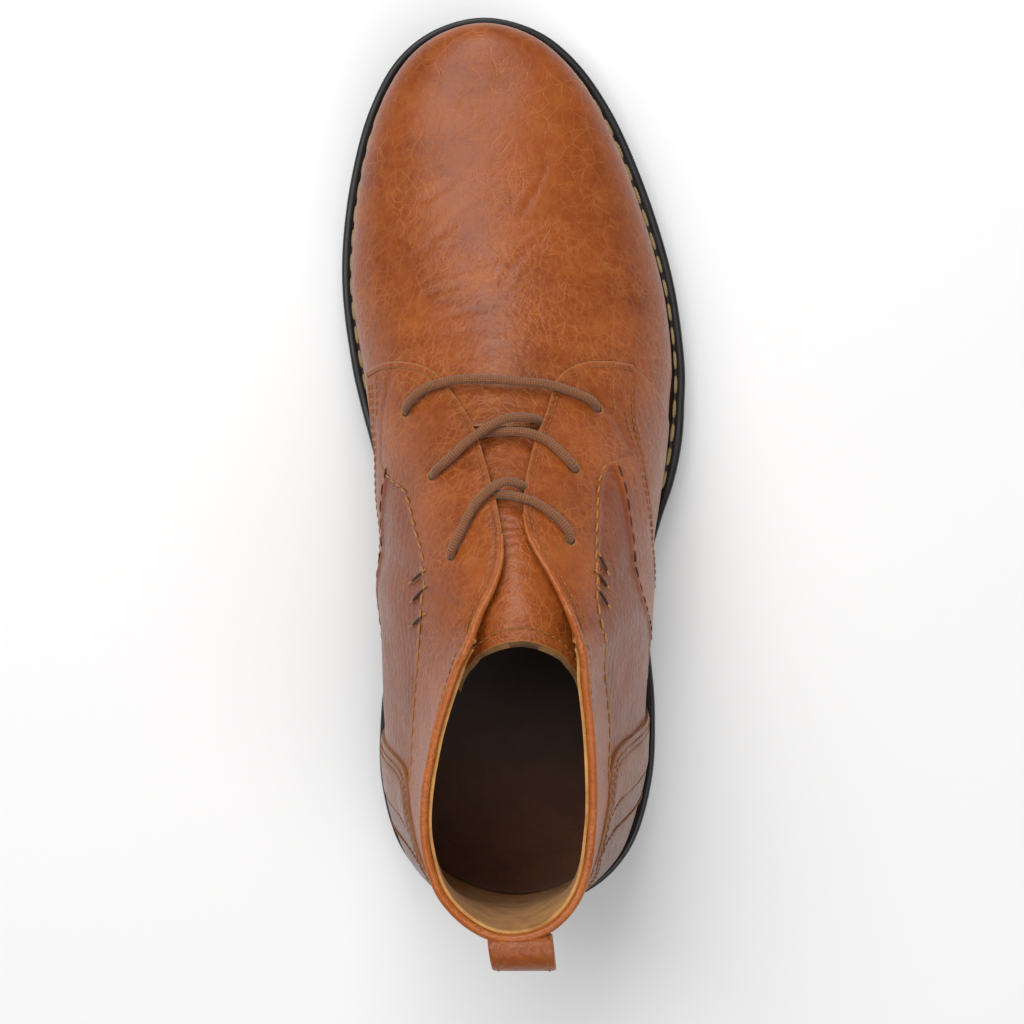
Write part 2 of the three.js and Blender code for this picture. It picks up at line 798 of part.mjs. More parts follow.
// Finishes: leather tan, edges and rubber black, laces brown
const finishes = {
  leather: { color: 0x9a5a30, roughness: 0.35, metalness: 0 },
  lining: { color: 0xc9a878, roughness: 0.8, metalness: 0 },
  insole: { color: 0x4a3426, roughness: 0.8, metalness: 0 },
  rubber: { color: 0x1b1a1a, roughness: 0.55, metalness: 0 },
  cord: { color: 0x8a5a3c, roughness: 0.85, metalness: 0 },
};

const boot = new THREE.Group();
const soleSamples = Array.from({ length: roundSteps }, (_, i) => edgePoint(ribAt(i)));
const outlineBox = new THREE.Box2().setFromPoints(soleSamples);
const centre = outlineBox.getCenter(new THREE.Vector2());
boot.position.set(-centre.x, -centre.y, 0);

function place(name, solid, finish) {
  const mesh = new THREE.Mesh(geometryFrom(solid), new THREE.MeshStandardMaterial(finishes[finish]));
  mesh.name = name;
  boot.add(mesh);
}

place('outsole', makeOutsole(), 'rubber');
place('heel', makeHeel(), 'rubber');
place('welt', makeWelt(), 'rubber');
place('insole', makeInsole(), 'insole');
place('upper', makeUpper(), 'leather');
place('quarter_outer', makeQuarter(outerQuarterEdge, outerEyelets, 1), 'leather');
place('quarter_inner', makeQuarter(innerQuarterEdge, innerEyelets, -1), 'leather');
place('counter', makeCounter(), 'leather');
place('tongue', makeTongue(), 'leather');
place('pull_loop', makePullLoop(), 'leather');
place('lace_bar', makeLaceBar(), 'cord');
place('lace_crossing_front', makeLaceCrossing(1, 0.56), 'cord');
place('lace_crossing_back', makeLaceCrossing(2, 0.41), 'cord');

export default boot;
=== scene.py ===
"""Chukka boot for the right foot, dressed over its solids: waxed pull-up leather panels with cut
edges and stitching, a suede lining, a round cord lace, a welted black rubber sole and heel.

All lengths are metres. +X is the outer side of the foot, +Y points to the toe and +Z is up.
The leather follows the same form as the solids: a cubic curve from the feather edge, v = 0, to
the top line, v = 1, on each rib q, which counts from the back of the heel to the toe, positive
on the outer side and negative on the inner side."""
import math
import bmesh
import bpy
import numpy as np
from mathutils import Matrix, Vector


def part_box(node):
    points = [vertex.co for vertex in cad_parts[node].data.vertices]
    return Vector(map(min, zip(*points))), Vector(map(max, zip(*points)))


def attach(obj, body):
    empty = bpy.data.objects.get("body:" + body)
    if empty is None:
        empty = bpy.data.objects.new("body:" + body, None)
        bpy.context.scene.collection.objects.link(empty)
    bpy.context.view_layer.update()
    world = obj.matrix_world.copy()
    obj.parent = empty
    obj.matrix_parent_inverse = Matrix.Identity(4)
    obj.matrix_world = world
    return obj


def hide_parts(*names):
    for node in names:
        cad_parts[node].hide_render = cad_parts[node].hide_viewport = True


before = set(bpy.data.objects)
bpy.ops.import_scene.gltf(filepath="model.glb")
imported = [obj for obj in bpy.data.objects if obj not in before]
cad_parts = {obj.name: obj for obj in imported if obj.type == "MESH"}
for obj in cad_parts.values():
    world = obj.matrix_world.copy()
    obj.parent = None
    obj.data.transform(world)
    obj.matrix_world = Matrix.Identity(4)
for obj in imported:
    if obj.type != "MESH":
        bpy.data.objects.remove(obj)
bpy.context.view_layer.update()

# Real sizes of the leather, thread, cord and rubber
MM = 0.001
GAP = 0.3 * MM
WALL = 2.0 * MM
QUARTER = 1.6 * MM
COUNTER = 1.3 * MM
RIM = 7.0 * MM
WELT = 3.2 * MM
LACE = 3.0 * MM
HEEL_HEIGHT = 19 * MM
HEEL_SEAT = 7.5 * MM
BALL_SOLE = 12 * MM
TOE_SPRING = 9 * MM

# Places along the sole, as shares of its length
HEEL_BREAST = 0.265
ARCH_END = 0.5
ROLL_START = 0.73

# Offsets of the outer faces from the form. The wing below a quarter's lower edge, and the
# counter, lie a step lower.
WING_STEP = 0.9 * MM
QUARTER_FACE = GAP + QUARTER
COUNTER_FACE = QUARTER_FACE + GAP + COUNTER - WING_STEP

# Points along a quarter's front edge, and the rib where the collar turns down into the facings
FRONT_POINTS = 120
FACING_RIB = 5.8
# An edge that runs out flush counts as this far away, so that it isn't drawn as a cut edge
HIDDEN_EDGE = 9 * MM

# Distances of the stitch rows and seams from the edges, and the welt's row as a share of its rim
FACING_ROW = 1.9 * MM
SECOND_ROW = 3.9 * MM
BAR_ROW = 6.8 * MM
COUNTER_ROWS = (1.9 * MM, 4.0 * MM)
COUNTER_SEAMS = (15.5 * MM, 24.5 * MM)
WELT_ROW = 0.50
LOOP_ROW = 1.9 * MM

# Stitches: step, length and radius
FACING_STITCH = (2.5 * MM, 1.9 * MM, 0.27 * MM)
EDGE_STITCH = (2.6 * MM, 2.0 * MM, 0.28 * MM)
BAR_STITCH = (2.6 * MM, 2.0 * MM, 0.3 * MM)
COUNTER_STITCH = (2.8 * MM, 2.1 * MM, 0.3 * MM)
TONGUE_STITCH = (2.8 * MM, 2.1 * MM, 0.3 * MM)
LOOP_STITCH = (2.7 * MM, 2.0 * MM, 0.28 * MM)
UPPER_SEAM_STITCH = (4.4 * MM, 3.3 * MM, 0.33 * MM)
LOWER_SEAM_STITCH = (5.4 * MM, 3.9 * MM, 0.33 * MM)
WELT_STITCH = (8 * MM, 6.0 * MM, 0.65 * MM)
STITCH_SIDES = 6

# The pull loop's place across the boot at the collar, and how far it leans from there to its back
LOOP_MIDDLE = 1.4 * MM
LOOP_LEAN = 1.6 * MM

# The frame gives the sizes that the tables below are shares of
SOLE_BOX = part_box("outsole")
LENGTH = SOLE_BOX[1].y - SOLE_BOX[0].y
WIDTH = SOLE_BOX[1].x - SOLE_BOX[0].x
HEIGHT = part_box("quarter_outer")[1].z


def table(columns, rows):
    """Named columns of a short table, each as an array."""
    return dict(zip(columns.split(), np.array(rows, float).T))


# Sole outline and set-back of the upper, one row for each rib, as shares of length and width
SOLE_EDGE = table("along inner outer rim", [
    [0.0000, 0.000, 0.000, 0.74],
    [0.0205, -0.198, 0.198, 0.78],
    [0.0685, -0.326, 0.326, 0.80],
    [0.1438, -0.385, 0.388, 0.78],
    [0.2260, -0.386, 0.398, 0.72],
    [0.3082, -0.358, 0.382, 0.60],
    [0.3767, -0.340, 0.382, 0.62],
    [0.4315, -0.359, 0.418, 0.84],
    [0.4795, -0.394, 0.460, 1.02],
    [0.5240, -0.424, 0.484, 1.06],
    [0.5685, -0.455, 0.492, 1.00],
    [0.6164, -0.4815, 0.492, 0.96],
    [0.6918, -0.506, 0.467, 0.95],
    [0.7603, -0.5035, 0.423, 1.00],
    [0.8322, -0.476, 0.357, 1.00],
    [0.8973, -0.428, 0.278, 1.00],
    [0.9521, -0.350, 0.176, 1.00],
    [0.9863, -0.238, 0.058, 1.00],
    [1.0000, -0.0926, -0.0926, 1.00],
])

# Collar line on the first ribs, as shares of length, width and height
COLLAR = table("along inner outer height", [
    [0.0320, -0.015, -0.015, 1.000],
    [0.0420, -0.103, 0.080, 0.992],
    [0.0755, -0.187, 0.152, 0.976],
    [0.1336, -0.224, 0.181, 0.956],
    [0.2055, -0.205, 0.181, 0.944],
    [0.2740, -0.155, 0.164, 0.946],
    [0.3150, -0.103, 0.145, 0.952],
    [0.3253, 0.013, 0.013, 0.970],
])

# Ridge from the front of the ankle to the toe, as shares of length, width and height
RIDGE = table("along across height", [
    [0.3253, 0.013, 0.970],
    [0.3801, -0.004, 0.899],
    [0.4418, -0.015, 0.810],
    [0.5068, -0.026, 0.700],
    [0.5719, -0.040, 0.595],
    [0.6610, -0.053, 0.494],
    [0.7363, -0.063, 0.441],
    [0.7945, -0.074, 0.412],
    [0.8356, -0.082, 0.394],
    [0.8630, -0.088, 0.382],
    [0.8784, -0.092, 0.375],
    [0.8836, -0.0926, 0.3727],
])

# Fullness of each rib: how far its two control points stand out, up, down and to the toe
FULLNESS = table("swell_in swell_out rise shoulder_in shoulder_out drop lead", [
    [0.024, 0.024, 0.225, -0.026, -0.026, 0.270, 0.000],
    [0.034, 0.010, 0.225, -0.020, -0.024, 0.270, 0.000],
    [0.040, 0.006, 0.225, -0.006, -0.010, 0.270, 0.000],
    [0.046, 0.006, 0.225, 0.010, 0.008, 0.270, 0.000],
    [0.072, 0.020, 0.225, 0.030, 0.026, 0.270, 0.000],
    [0.140, 0.078, 0.225, 0.070, 0.058, 0.250, 0.000],
    [0.200, 0.106, 0.235, 0.125, 0.098, 0.200, 0.006],
    [0.198, 0.092, 0.240, 0.168, 0.165, 0.000, 0.034],
    [0.178, 0.080, 0.240, 0.172, 0.175, 0.000, 0.024],
    [0.140, 0.080, 0.230, 0.180, 0.185, 0.000, 0.012],
    [0.112, 0.085, 0.210, 0.190, 0.200, 0.000, 0.004],
    [0.095, 0.090, 0.190, 0.205, 0.220, 0.000, 0.000],
    [0.105, 0.095, 0.170, 0.230, 0.240, 0.000, 0.000],
    [0.105, 0.095, 0.160, 0.235, 0.240, 0.000, 0.000],
    [0.100, 0.092, 0.160, 0.230, 0.230, 0.000, 0.000],
    [0.095, 0.090, 0.160, 0.220, 0.220, 0.000, 0.000],
    [0.088, 0.088, 0.160, 0.210, 0.210, 0.000, 0.000],
    [0.082, 0.082, 0.160, 0.200, 0.200, 0.000, 0.000],
    [0.080, 0.080, 0.160, 0.196, 0.196, 0.000, 0.000],
])

LAST_RIB = len(SOLE_EDGE["along"]) - 1
ANKLE_RIB = len(COLLAR["along"]) - 1
CENTRE_X = (SOLE_EDGE["outer"].max() + SOLE_EDGE["inner"].min()) / 2 * WIDTH
CENTRE_Y = LENGTH / 2


def through(values, start, q):
    """Catmull-Rom curve: values[0] belongs to the whole number start, and between two whole
    numbers the cubic leaves and arrives with half the rise of the neighbours."""
    k = np.floor(q).astype(int)
    t = q - k
    at = np.clip(k - start, 1, len(values) - 3)
    before, here, after, later = (values[at + step] for step in (-1, 0, 1, 2))
    leave = (after - before) / 2
    arrive = (later - here) / 2
    cubic = 2 * here - 2 * after + leave + arrive
    square = 3 * after - 3 * here - 2 * leave - arrive
    return ((cubic * t + square) * t + leave) * t + here


def round_boot(inner, outer):
    """Values of a closed curve once round the boot, from two ribs before the toe on the inner
    side to two ribs past it, as a function of q."""
    loop = np.concatenate([inner[::-1], outer[1:]])
    values = np.concatenate([loop[-4:-1], loop, loop[1:4]])
    return lambda q: through(values, -LAST_RIB - 3, q)


def along_collar(inner, outer):
    """Values along the collar from ankle to ankle, carried straight on at both ends."""
    line = np.concatenate([inner[::-1], outer[1:]])
    before = [2 * line[0] - line[2], 2 * line[0] - line[1]]
    after = [2 * line[-1] - line[-2], 2 * line[-1] - line[-3]]
    values = np.concatenate([before, line, after])
    return lambda q: through(values, -ANKLE_RIB - 2, q)


def along_ridge(column):
    """Values along the ridge, straight on before the ankle and turned back at the toe."""
    values = np.concatenate([[2 * column[0] - column[1]], column, column[-2:-5:-1]])
    return lambda q: through(values, -1, q)


edge_along = round_boot(SOLE_EDGE["along"], SOLE_EDGE["along"])
edge_across = round_boot(SOLE_EDGE["inner"], SOLE_EDGE["outer"])
rim_share = round_boot(SOLE_EDGE["rim"], SOLE_EDGE["rim"])
swell = round_boot(FULLNESS["swell_in"], FULLNESS["swell_out"])
rise = round_boot(FULLNESS["rise"], FULLNESS["rise"])
shoulder = round_boot(FULLNESS["shoulder_in"], FULLNESS["shoulder_out"])
drop = round_boot(FULLNESS["drop"], FULLNESS["drop"])
lead = round_boot(FULLNESS["lead"], FULLNESS["lead"])
collar_along = along_collar(COLLAR["along"], COLLAR["along"])
collar_across = along_collar(COLLAR["inner"], COLLAR["outer"])
collar_rise = along_collar(COLLAR["height"], COLLAR["height"])
ridge_along = along_ridge(RIDGE["along"])
ridge_across = along_ridge(RIDGE["across"])
ridge_rise = along_ridge(RIDGE["height"])


def smooth(start, end, value):
    """0 before start, 1 after end, and the cubic 3t^2 - 2t^3 between them."""
    t = np.clip((value - start) / (end - start), 0, 1)
    return t * t * (3 - 2 * t)


def unit(vectors):
    """Vectors of length one along the last axis."""
    return vectors / np.maximum(np.linalg.norm(vectors, axis=-1, keepdims=True), 1e-12)


def roll(share):
    """Square of the way from the start of the toe spring to the toe."""
    return np.maximum(0, (share - ROLL_START) / (1 - ROLL_START)) ** 2


def tread_line(y):
    """Height of the tread: flat under the ball, up to the heel block and up to the toe."""
    share = (y + CENTRE_Y) / LENGTH
    return HEEL_HEIGHT * (1 - smooth(HEEL_BREAST + 0.005, ARCH_END, share)) + TOE_SPRING * roll(share)


def seat_line(y):
    """Height of the sole's top: heel seat behind, ball thickness before, and the toe spring."""
    share = (y + CENTRE_Y) / LENGTH
    back = 1 - smooth(HEEL_BREAST - 0.05, ARCH_END + 0.08, share)
    thickness = HEEL_SEAT * back + BALL_SOLE * (1 - back)
    return HEEL_HEIGHT * back + thickness + TOE_SPRING * roll(share)


def welt_top(y):
    """Height of the welt's upper face."""
    return seat_line(y) + GAP + WELT


def edge_point(q):
    """Point of the sole outline on rib q, on the floor plan."""
    return np.stack([edge_across(q) * WIDTH - CENTRE_X, edge_along(q) * LENGTH - CENTRE_Y], -1)


def edge_out(q):
    """Outward direction of the outline: its tangent turned a quarter to the right."""
    step = 0.02
    along = unit(edge_point(q + step) - edge_point(q - step))
    return np.stack([along[..., 1], -along[..., 0]], -1)


def inset_point(q, inset):
    """Outline point moved inwards."""
    return edge_point(q) - edge_out(q) * np.asarray(inset)[..., None]


def ridge_slope(q):
    """Rise of the ridge over its length on the lengthwise plane."""
    step = 0.05
    k = np.clip(np.abs(q) - ANKLE_RIB, step, len(RIDGE["along"]) - 1 - step)
    run = (ridge_along(k + step) - ridge_along(k - step)) * LENGTH
    return (ridge_rise(k + step) - ridge_rise(k - step)) * HEIGHT / run


def top_point(q):
    """Top of rib q: on the collar up to the ankle's front, and on the ridge beyond it."""
    k = np.abs(q) - ANKLE_RIB
    near = np.clip(q, -ANKLE_RIB, ANKLE_RIB)
    far = np.maximum(k, 0)
    collar = [collar_across(near), collar_along(near), collar_rise(near)]
    ridge = [ridge_across(far), ridge_along(far), ridge_rise(far)]
    x, y, z = (np.where(k <= 0, a, b) for a, b in zip(collar, ridge))
    return np.stack([x * WIDTH - CENTRE_X, y * LENGTH - CENTRE_Y, z * HEIGHT], -1)


def form(q, v):
    """Cubic Bezier curve from the feather edge to the top line. The lower control point stands
    out by swell and up by rise, the upper one out by shoulder, down by drop and on the ridge's
    slope, so that both sides meet in one plane on the ridge."""
    q, v = np.broadcast_arrays(q, v)
    foot = inset_point(q, rim_share(q) * RIM)
    out = np.concatenate([edge_out(q), np.zeros(q.shape + (1,))], -1)
    low = np.concatenate([foot, (welt_top(foot[..., 1]) + GAP)[..., None]], -1)
    top = top_point(q)
    low_control = low + out * (swell(q) * WIDTH)[..., None]
    low_control[..., 2] += rise(q) * HEIGHT
    reach = shoulder(q) * WIDTH
    ahead = lead(q) * LENGTH
    top_control = top + out * reach[..., None]
    top_control[..., 1] += ahead
    on_ridge = smooth(ANKLE_RIB - 1, ANKLE_RIB, np.abs(q))
    top_control[..., 2] += on_ridge * ridge_slope(q) * (out[..., 1] * reach + ahead)
    top_control[..., 2] -= drop(q) * HEIGHT
    w = v[..., None]
    return ((1 - w) ** 3 * low + 3 * (1 - w) ** 2 * w * low_control
            + 3 * (1 - w) * w ** 2 * top_control + w ** 3 * top)


def normal(q, v):
    """Outward normal: the cross product of the two tangents, turned level at the feather edge
    and square to the ridge at the top of the vamp."""
    q, v = np.broadcast_arrays(q, v)
    step = 0.01
    around = form(q + step, v) - form(q - step, v)
    up = form(q, np.minimum(1, v + step)) - form(q, np.maximum(0, v - step))
    steep = unit(np.cross(around, up))
    level = np.concatenate([edge_out(q), np.zeros(q.shape + (1,))], -1)
    slope = ridge_slope(q)
    crest = unit(np.stack([np.zeros_like(slope), -slope, np.ones_like(slope)], -1))
    low = smooth(0, 0.2, v)[..., None]
    high = (smooth(0.97, 1, v) * smooth(ANKLE_RIB - 0.1, ANKLE_RIB, np.abs(q)))[..., None]
    mixed = unit(steep * low + level * (1 - low))
    return unit(mixed * (1 - high) + crest * high)


def on_form(q, v, offset):
    """Point at an offset from the form."""
    return form(q, v) + normal(q, v) * np.asarray(offset)[..., None]


# Coarse picture of the top of the form, from which places on the floor plan are looked up
LOOK_Q, LOOK_V = np.meshgrid(np.linspace(-14, 14, 561), np.linspace(0.45, 1, 56), indexing="ij")
LOOK_POINTS = form(LOOK_Q, LOOK_V)


def above(x, y):
    """Rib and height (q, v) of the form above places on the plan: the nearest point of the
    coarse picture, then Newton's steps with the two tangents."""
    x, y = np.atleast_1d(x), np.atleast_1d(y)
    parts = np.array_split(np.arange(len(x)), len(x) // 400 + 1)
    best = np.concatenate([((LOOK_POINTS[..., 0].ravel()[None] - x[part, None]) ** 2
                            + (LOOK_POINTS[..., 1].ravel()[None] - y[part, None]) ** 2).argmin(1)
                           for part in parts])
    q, v = LOOK_Q.ravel()[best], LOOK_V.ravel()[best]
    step = 1e-3
    for _ in range(4):
        here = form(q, v)
        along_q = (form(q + step, v) - here) / step
        along_v = (here - form(q, v - step)) / step
        miss_x, miss_y = x - here[:, 0], y - here[:, 1]
        area = along_q[:, 0] * along_v[:, 1] - along_q[:, 1] * along_v[:, 0]
        area = np.where(np.abs(area) < 1e-7, 1e-7, area)
        move_q = (miss_x * along_v[:, 1] - miss_y * along_v[:, 0]) / area
        move_v = (along_q[:, 0] * miss_y - along_q[:, 1] * miss_x) / area
        q = q + np.clip(move_q, -0.05, 0.05)
        v = np.clip(v + np.clip(move_v, -0.01, 0.01), 0, 1)
    return q, v


# Outlines on the floor plan, as shares of width and length
OUTER_QUARTER = table("across along", [
    [0.118, 0.295],
    [0.135, 0.309],
    [0.140, 0.323],
    [0.127, 0.345],
    [0.092, 0.374],
    [0.032, 0.416],
    [0.017, 0.442],
    [0.022, 0.474],
    [0.046, 0.515],
    [0.076, 0.545],
    [0.106, 0.582],
    [0.150, 0.597],
    [0.215, 0.604],
    [0.320, 0.601],
    [0.400, 0.575],
    [0.470, 0.520],
    [0.580, 0.430],
])
INNER_QUARTER = table("across along", [
    [-0.078, 0.295],
    [-0.095, 0.309],
    [-0.100, 0.323],
    [-0.087, 0.344],
    [-0.057, 0.368],
    [-0.037, 0.394],
    [-0.036, 0.420],
    [-0.049, 0.450],
    [-0.070, 0.480],
    [-0.110, 0.530],
    [-0.175, 0.572],
    [-0.235, 0.596],
    [-0.330, 0.606],
    [-0.410, 0.598],
    [-0.460, 0.572],
    [-0.520, 0.520],
    [-0.600, 0.430],
])
TONGUE = table("along middle half", [
    [0.250, 0.008, 0.178],
    [0.290, 0.009, 0.174],
    [0.322, 0.012, 0.155],
    [0.345, 0.012, 0.150],
    [0.380, 0.008, 0.165],
    [0.430, -0.006, 0.190],
    [0.480, -0.018, 0.195],
    [0.530, -0.028, 0.170],
    [0.575, -0.036, 0.140],
])
TONGUE_TOP = 0.3214
TONGUE_FRONT = 0.57
TONGUE_BEND = 0.347

# Front and top edge of the counter in the side view, as shares of length and height
COUNTER_EDGE = table("along height", [
    [0.238, 0.200],
    [0.226, 0.324],
    [0.216, 0.468],
    [0.208, 0.597],
    [0.198, 0.668],
    [0.182, 0.702],
    [0.155, 0.715],
    [0.090, 0.735],
    [-0.100, 0.745],
])

# Seams of the quarters in the side view, outer and inner: the wedge lies between the upper and
# the lower seam, and the quarter's lower edge runs along the side below them.
SEAMS = {
    "upper outer": table("along height", [
        [-0.05, 0.700],
        [0.19, 0.708],
        [0.253, 0.746],
        [0.295, 0.792],
        [0.335, 0.806],
        [0.372, 0.784],
        [0.399, 0.749],
        [0.431, 0.709],
        [0.457, 0.675],
        [0.479, 0.639],
        [0.492, 0.606],
        [0.510, 0.520],
        [0.560, 0.440],
    ]),
    "upper inner": table("along height", [
        [-0.05, 0.700],
        [0.19, 0.706],
        [0.252, 0.703],
        [0.293, 0.714],
        [0.334, 0.733],
        [0.365, 0.733],
        [0.395, 0.712],
        [0.421, 0.667],
        [0.447, 0.621],
        [0.467, 0.577],
        [0.481, 0.495],
        [0.500, 0.430],
        [0.560, 0.350],
    ]),
    "lower outer": table("along height", [
        [-0.05, 0.200],
        [0.20, 0.240],
        [0.27, 0.300],
        [0.315, 0.404],
        [0.339, 0.520],
        [0.363, 0.590],
        [0.394, 0.615],
        [0.447, 0.610],
        [0.478, 0.603],
        [0.495, 0.606],
        [0.560, 0.640],
    ]),
    "lower inner": table("along height", [
        [-0.05, 0.200],
        [0.20, 0.260],
        [0.30, 0.340],
        [0.372, 0.420],
        [0.414, 0.445],
        [0.457, 0.470],
        [0.481, 0.488],
        [0.500, 0.510],
        [0.560, 0.560],
    ]),
    "edge outer": table("along height", [
        [0.00, 0.250],
        [0.20, 0.265],
        [0.30, 0.300],
        [0.37, 0.365],
        [0.404, 0.415],
        [0.436, 0.455],
        [0.469, 0.478],
        [0.493, 0.484],
        [0.534, 0.476],
        [0.565, 0.449],
        [0.592, 0.419],
        [0.650, 0.380],
    ]),
    "edge inner": table("along height", [
        [0.00, 0.250],
        [0.20, 0.265],
        [0.30, 0.290],
        [0.38, 0.325],
        [0.44, 0.350],
        [0.49, 0.362],
        [0.53, 0.358],
        [0.565, 0.350],
        [0.592, 0.340],
        [0.650, 0.320],
    ]),
}
EYELETS_OUT = table("across along", [[0.213, 0.5525], [0.148, 0.4873], [0.132, 0.415]])
EYELETS_IN = table("across along", [[-0.292, 0.5503], [-0.2147, 0.481], [-0.161, 0.400]])
EYELET_RADIUS = 1.75 * MM


def spline(points, count):
    """Points of a Catmull-Rom curve through a list of points, evenly spread over its spans."""
    points = np.asarray(points, float)
    values = np.concatenate([[2 * points[0] - points[1]], points, [2 * points[-1] - points[-2]]])
    q = np.linspace(0, len(points) - 1, count)
    return np.stack([through(values[:, k], -1, q) for k in range(points.shape[1])], -1)


def plan(rows):
    """Plan points in metres of a table in shares."""
    return np.stack([rows["across"] * WIDTH - CENTRE_X, rows["along"] * LENGTH - CENTRE_Y], -1)


def side_view(rows):
    """Side view points (y, z) in metres of a table in shares."""
    return np.stack([rows["along"] * LENGTH - CENTRE_Y, rows["height"] * HEIGHT], -1)


def outline_distance(points, outline):
    """Signed distance from points to a closed outline: the least distance to its edges, negative
    where a ray to the right crosses it an odd number of times."""
    px, py = points[..., 0], points[..., 1]
    least = np.full(px.shape, np.inf)
    inside = np.zeros(px.shape, bool)
    for (ax, ay), (bx, by) in zip(outline, np.roll(outline, -1, 0)):
        dx, dy = bx - ax, by - ay
        length = max(dx * dx + dy * dy, 1e-15)
        t = np.clip(((px - ax) * dx + (py - ay) * dy) / length, 0, 1)
        least = np.minimum(least, (px - ax - t * dx) ** 2 + (py - ay - t * dy) ** 2)
        crosses = (ay > py) != (by > py)
        inside ^= crosses & (px < ax + (py - ay) * dx / (dy if dy else 1e-15))
    return np.where(inside, -1, 1) * np.sqrt(least)


def quarter_outline(rows, side):
    """Front edge of a quarter, closed round its side of the boot and along the back seam."""
    seam = side * GAP / 2 - CENTRE_X
    beside = side * WIDTH
    back = -1.1 * CENTRE_Y
    corners = [[beside, 0.43 * LENGTH - CENTRE_Y], [beside, back], [seam, back],
               [seam, 0.16 * LENGTH - CENTRE_Y]]
    return np.concatenate([spline(plan(rows), FRONT_POINTS), corners])


OUTLINES = {
    "outer": quarter_outline(OUTER_QUARTER, 1),
    "inner": quarter_outline(INNER_QUARTER, -1),
}


def cover_of_quarters(points):
    """Distance to the edge of both quarters together, negative under them."""
    return np.minimum(outline_distance(points, OUTLINES["outer"]),
                      outline_distance(points, OUTLINES["inner"]))


def eyelet_places(rows):
    """Centres of the eyelets on the form."""
    places = plan(rows)
    q, v = above(places[:, 0], places[:, 1])
    return form(q, v)


EYES = np.concatenate([eyelet_places(EYELETS_OUT), eyelet_places(EYELETS_IN)])


def eyelet_holes(points):
    """How far a point lies inside the nearest eyelet, positive in the hole."""
    near = np.min([np.linalg.norm(points - eye, axis=-1) for eye in EYES], axis=0)
    return EYELET_RADIUS - near


SEAM_LINES = {name: spline(side_view(rows), 160) for name, rows in SEAMS.items()}


def over_seam(seam, side, points):
    """Height over a seam of one side."""
    line = SEAM_LINES[seam + " " + side]
    return points[..., 2] - np.interp(points[..., 1], line[:, 0], line[:, 1])


# Creases of the worn leather, each a line on the plan through three points, in millimetres
# from the middle of the sole's outline: depth and half width of its soft trough.
CREASES = table("x1 y1 x2 y2 x3 y3 depth width", [
    [-36, 36, -14, 40, 4, 39, 0.18, 0.9],
    [-30, 43, -8, 47, 18, 42, 0.20, 1.0],
    [-38, 49, -14, 55, 12, 51, 0.18, 1.0],
    [-22, 59, 0, 61, 26, 53, 0.18, 1.1],
    [-40, 60, -26, 67, -8, 68, 0.16, 1.0],
    [4, 66, 18, 62, 34, 52, 0.20, 1.1],
    [-14, 33, 2, 36, 20, 33, 0.16, 0.9],
    [10, 39, 26, 37, 38, 31, 0.20, 1.0],
    [-46, 40, -36, 44, -26, 52, 0.16, 1.0],
    [-30, 66, -18, 76, -4, 84, 0.20, 1.3],
    [0, 74, 8, 88, 10, 100, 0.18, 1.2],
    [-34, 80, -20, 88, -10, 98, 0.14, 1.2],
    [12, 80, 22, 74, 32, 66, 0.18, 1.2],
    [-44, 70, -38, 82, -30, 94, 0.12, 1.2],
    [16, 92, 22, 88, 28, 80, 0.14, 1.1],
    [-6, 52, 4, 66, 20, 78, 0.18, 1.1],
    [14, 50, 26, 58, 40, 56, 0.18, 1.0],
    [26, 70, 34, 58, 42, 44, 0.16, 1.0],
])


def crease_relief(points):
    """Sum of the creases: each is a trough with a Gauss section, depth times
    exp(-(d / width)^2), beside a low ridge on both sides, and fades out at its two ends."""
    relief = np.zeros(points.shape[:-1])
    rows = np.array([CREASES[name] for name in CREASES]).T
    for x1, y1, x2, y2, x3, y3, depth, width in rows:
        line = spline(np.array([[x1, y1], [x2, y2], [x3, y3]]) * MM, 24)
        length = len(line) - 1
        least = np.full(relief.shape, np.inf)
        place = np.zeros(relief.shape)
        for k, (a, b) in enumerate(zip(line[:-1], line[1:])):
            step = b - a
            t = np.clip(((points[..., :2] - a) @ step) / (step @ step), 0, 1)
            d = np.linalg.norm(points[..., :2] - a - t[..., None] * step, axis=-1)
            closer = d < least
            least = np.where(closer, d, least)
            place = np.where(closer, (k + t) / length, place)
        fade = smooth(0, 0.3, place) * smooth(0, 0.3, 1 - place)
        d = least / (width * MM)
        relief += depth * MM * fade * (0.45 * np.exp(-((d - 2.1) / 0.9) ** 2) - np.exp(-d ** 2))
    return relief


def ripple(points, seed, size):
    """Smooth random relief between -1 and 1: a sum of sine waves with fixed random directions,
    whose wave lengths lie round size."""
    random = np.random.default_rng(seed)
    total = np.zeros(points.shape[:-1])
    for _ in range(14):
        direction = unit(random.normal(size=3)) * 2 * math.pi / (size * random.uniform(0.7, 1.5))
        total += np.sin(points @ direction + random.uniform(0, 2 * math.pi))
    return total / 5


def vamp_relief(points):
    """Creases, fine wrinkles across the vamp before the throat, and an uneven surface."""
    y = points[..., 1]
    before = np.exp(-((y - 36 * MM) / (14 * MM)) ** 2)
    bend = y + 1.4 * MM * ripple(points, 5, 26 * MM)
    wrinkles = np.sin(2 * math.pi * bend / (2.6 * MM)) * before * 0.06 * MM
    patches = 0.5 + 0.5 * np.clip(ripple(points, 8, 12 * MM), -1, 1)
    return crease_relief(points) + wrinkles * patches + ripple(points, 3, 24 * MM) * 0.10 * MM


# Meshes

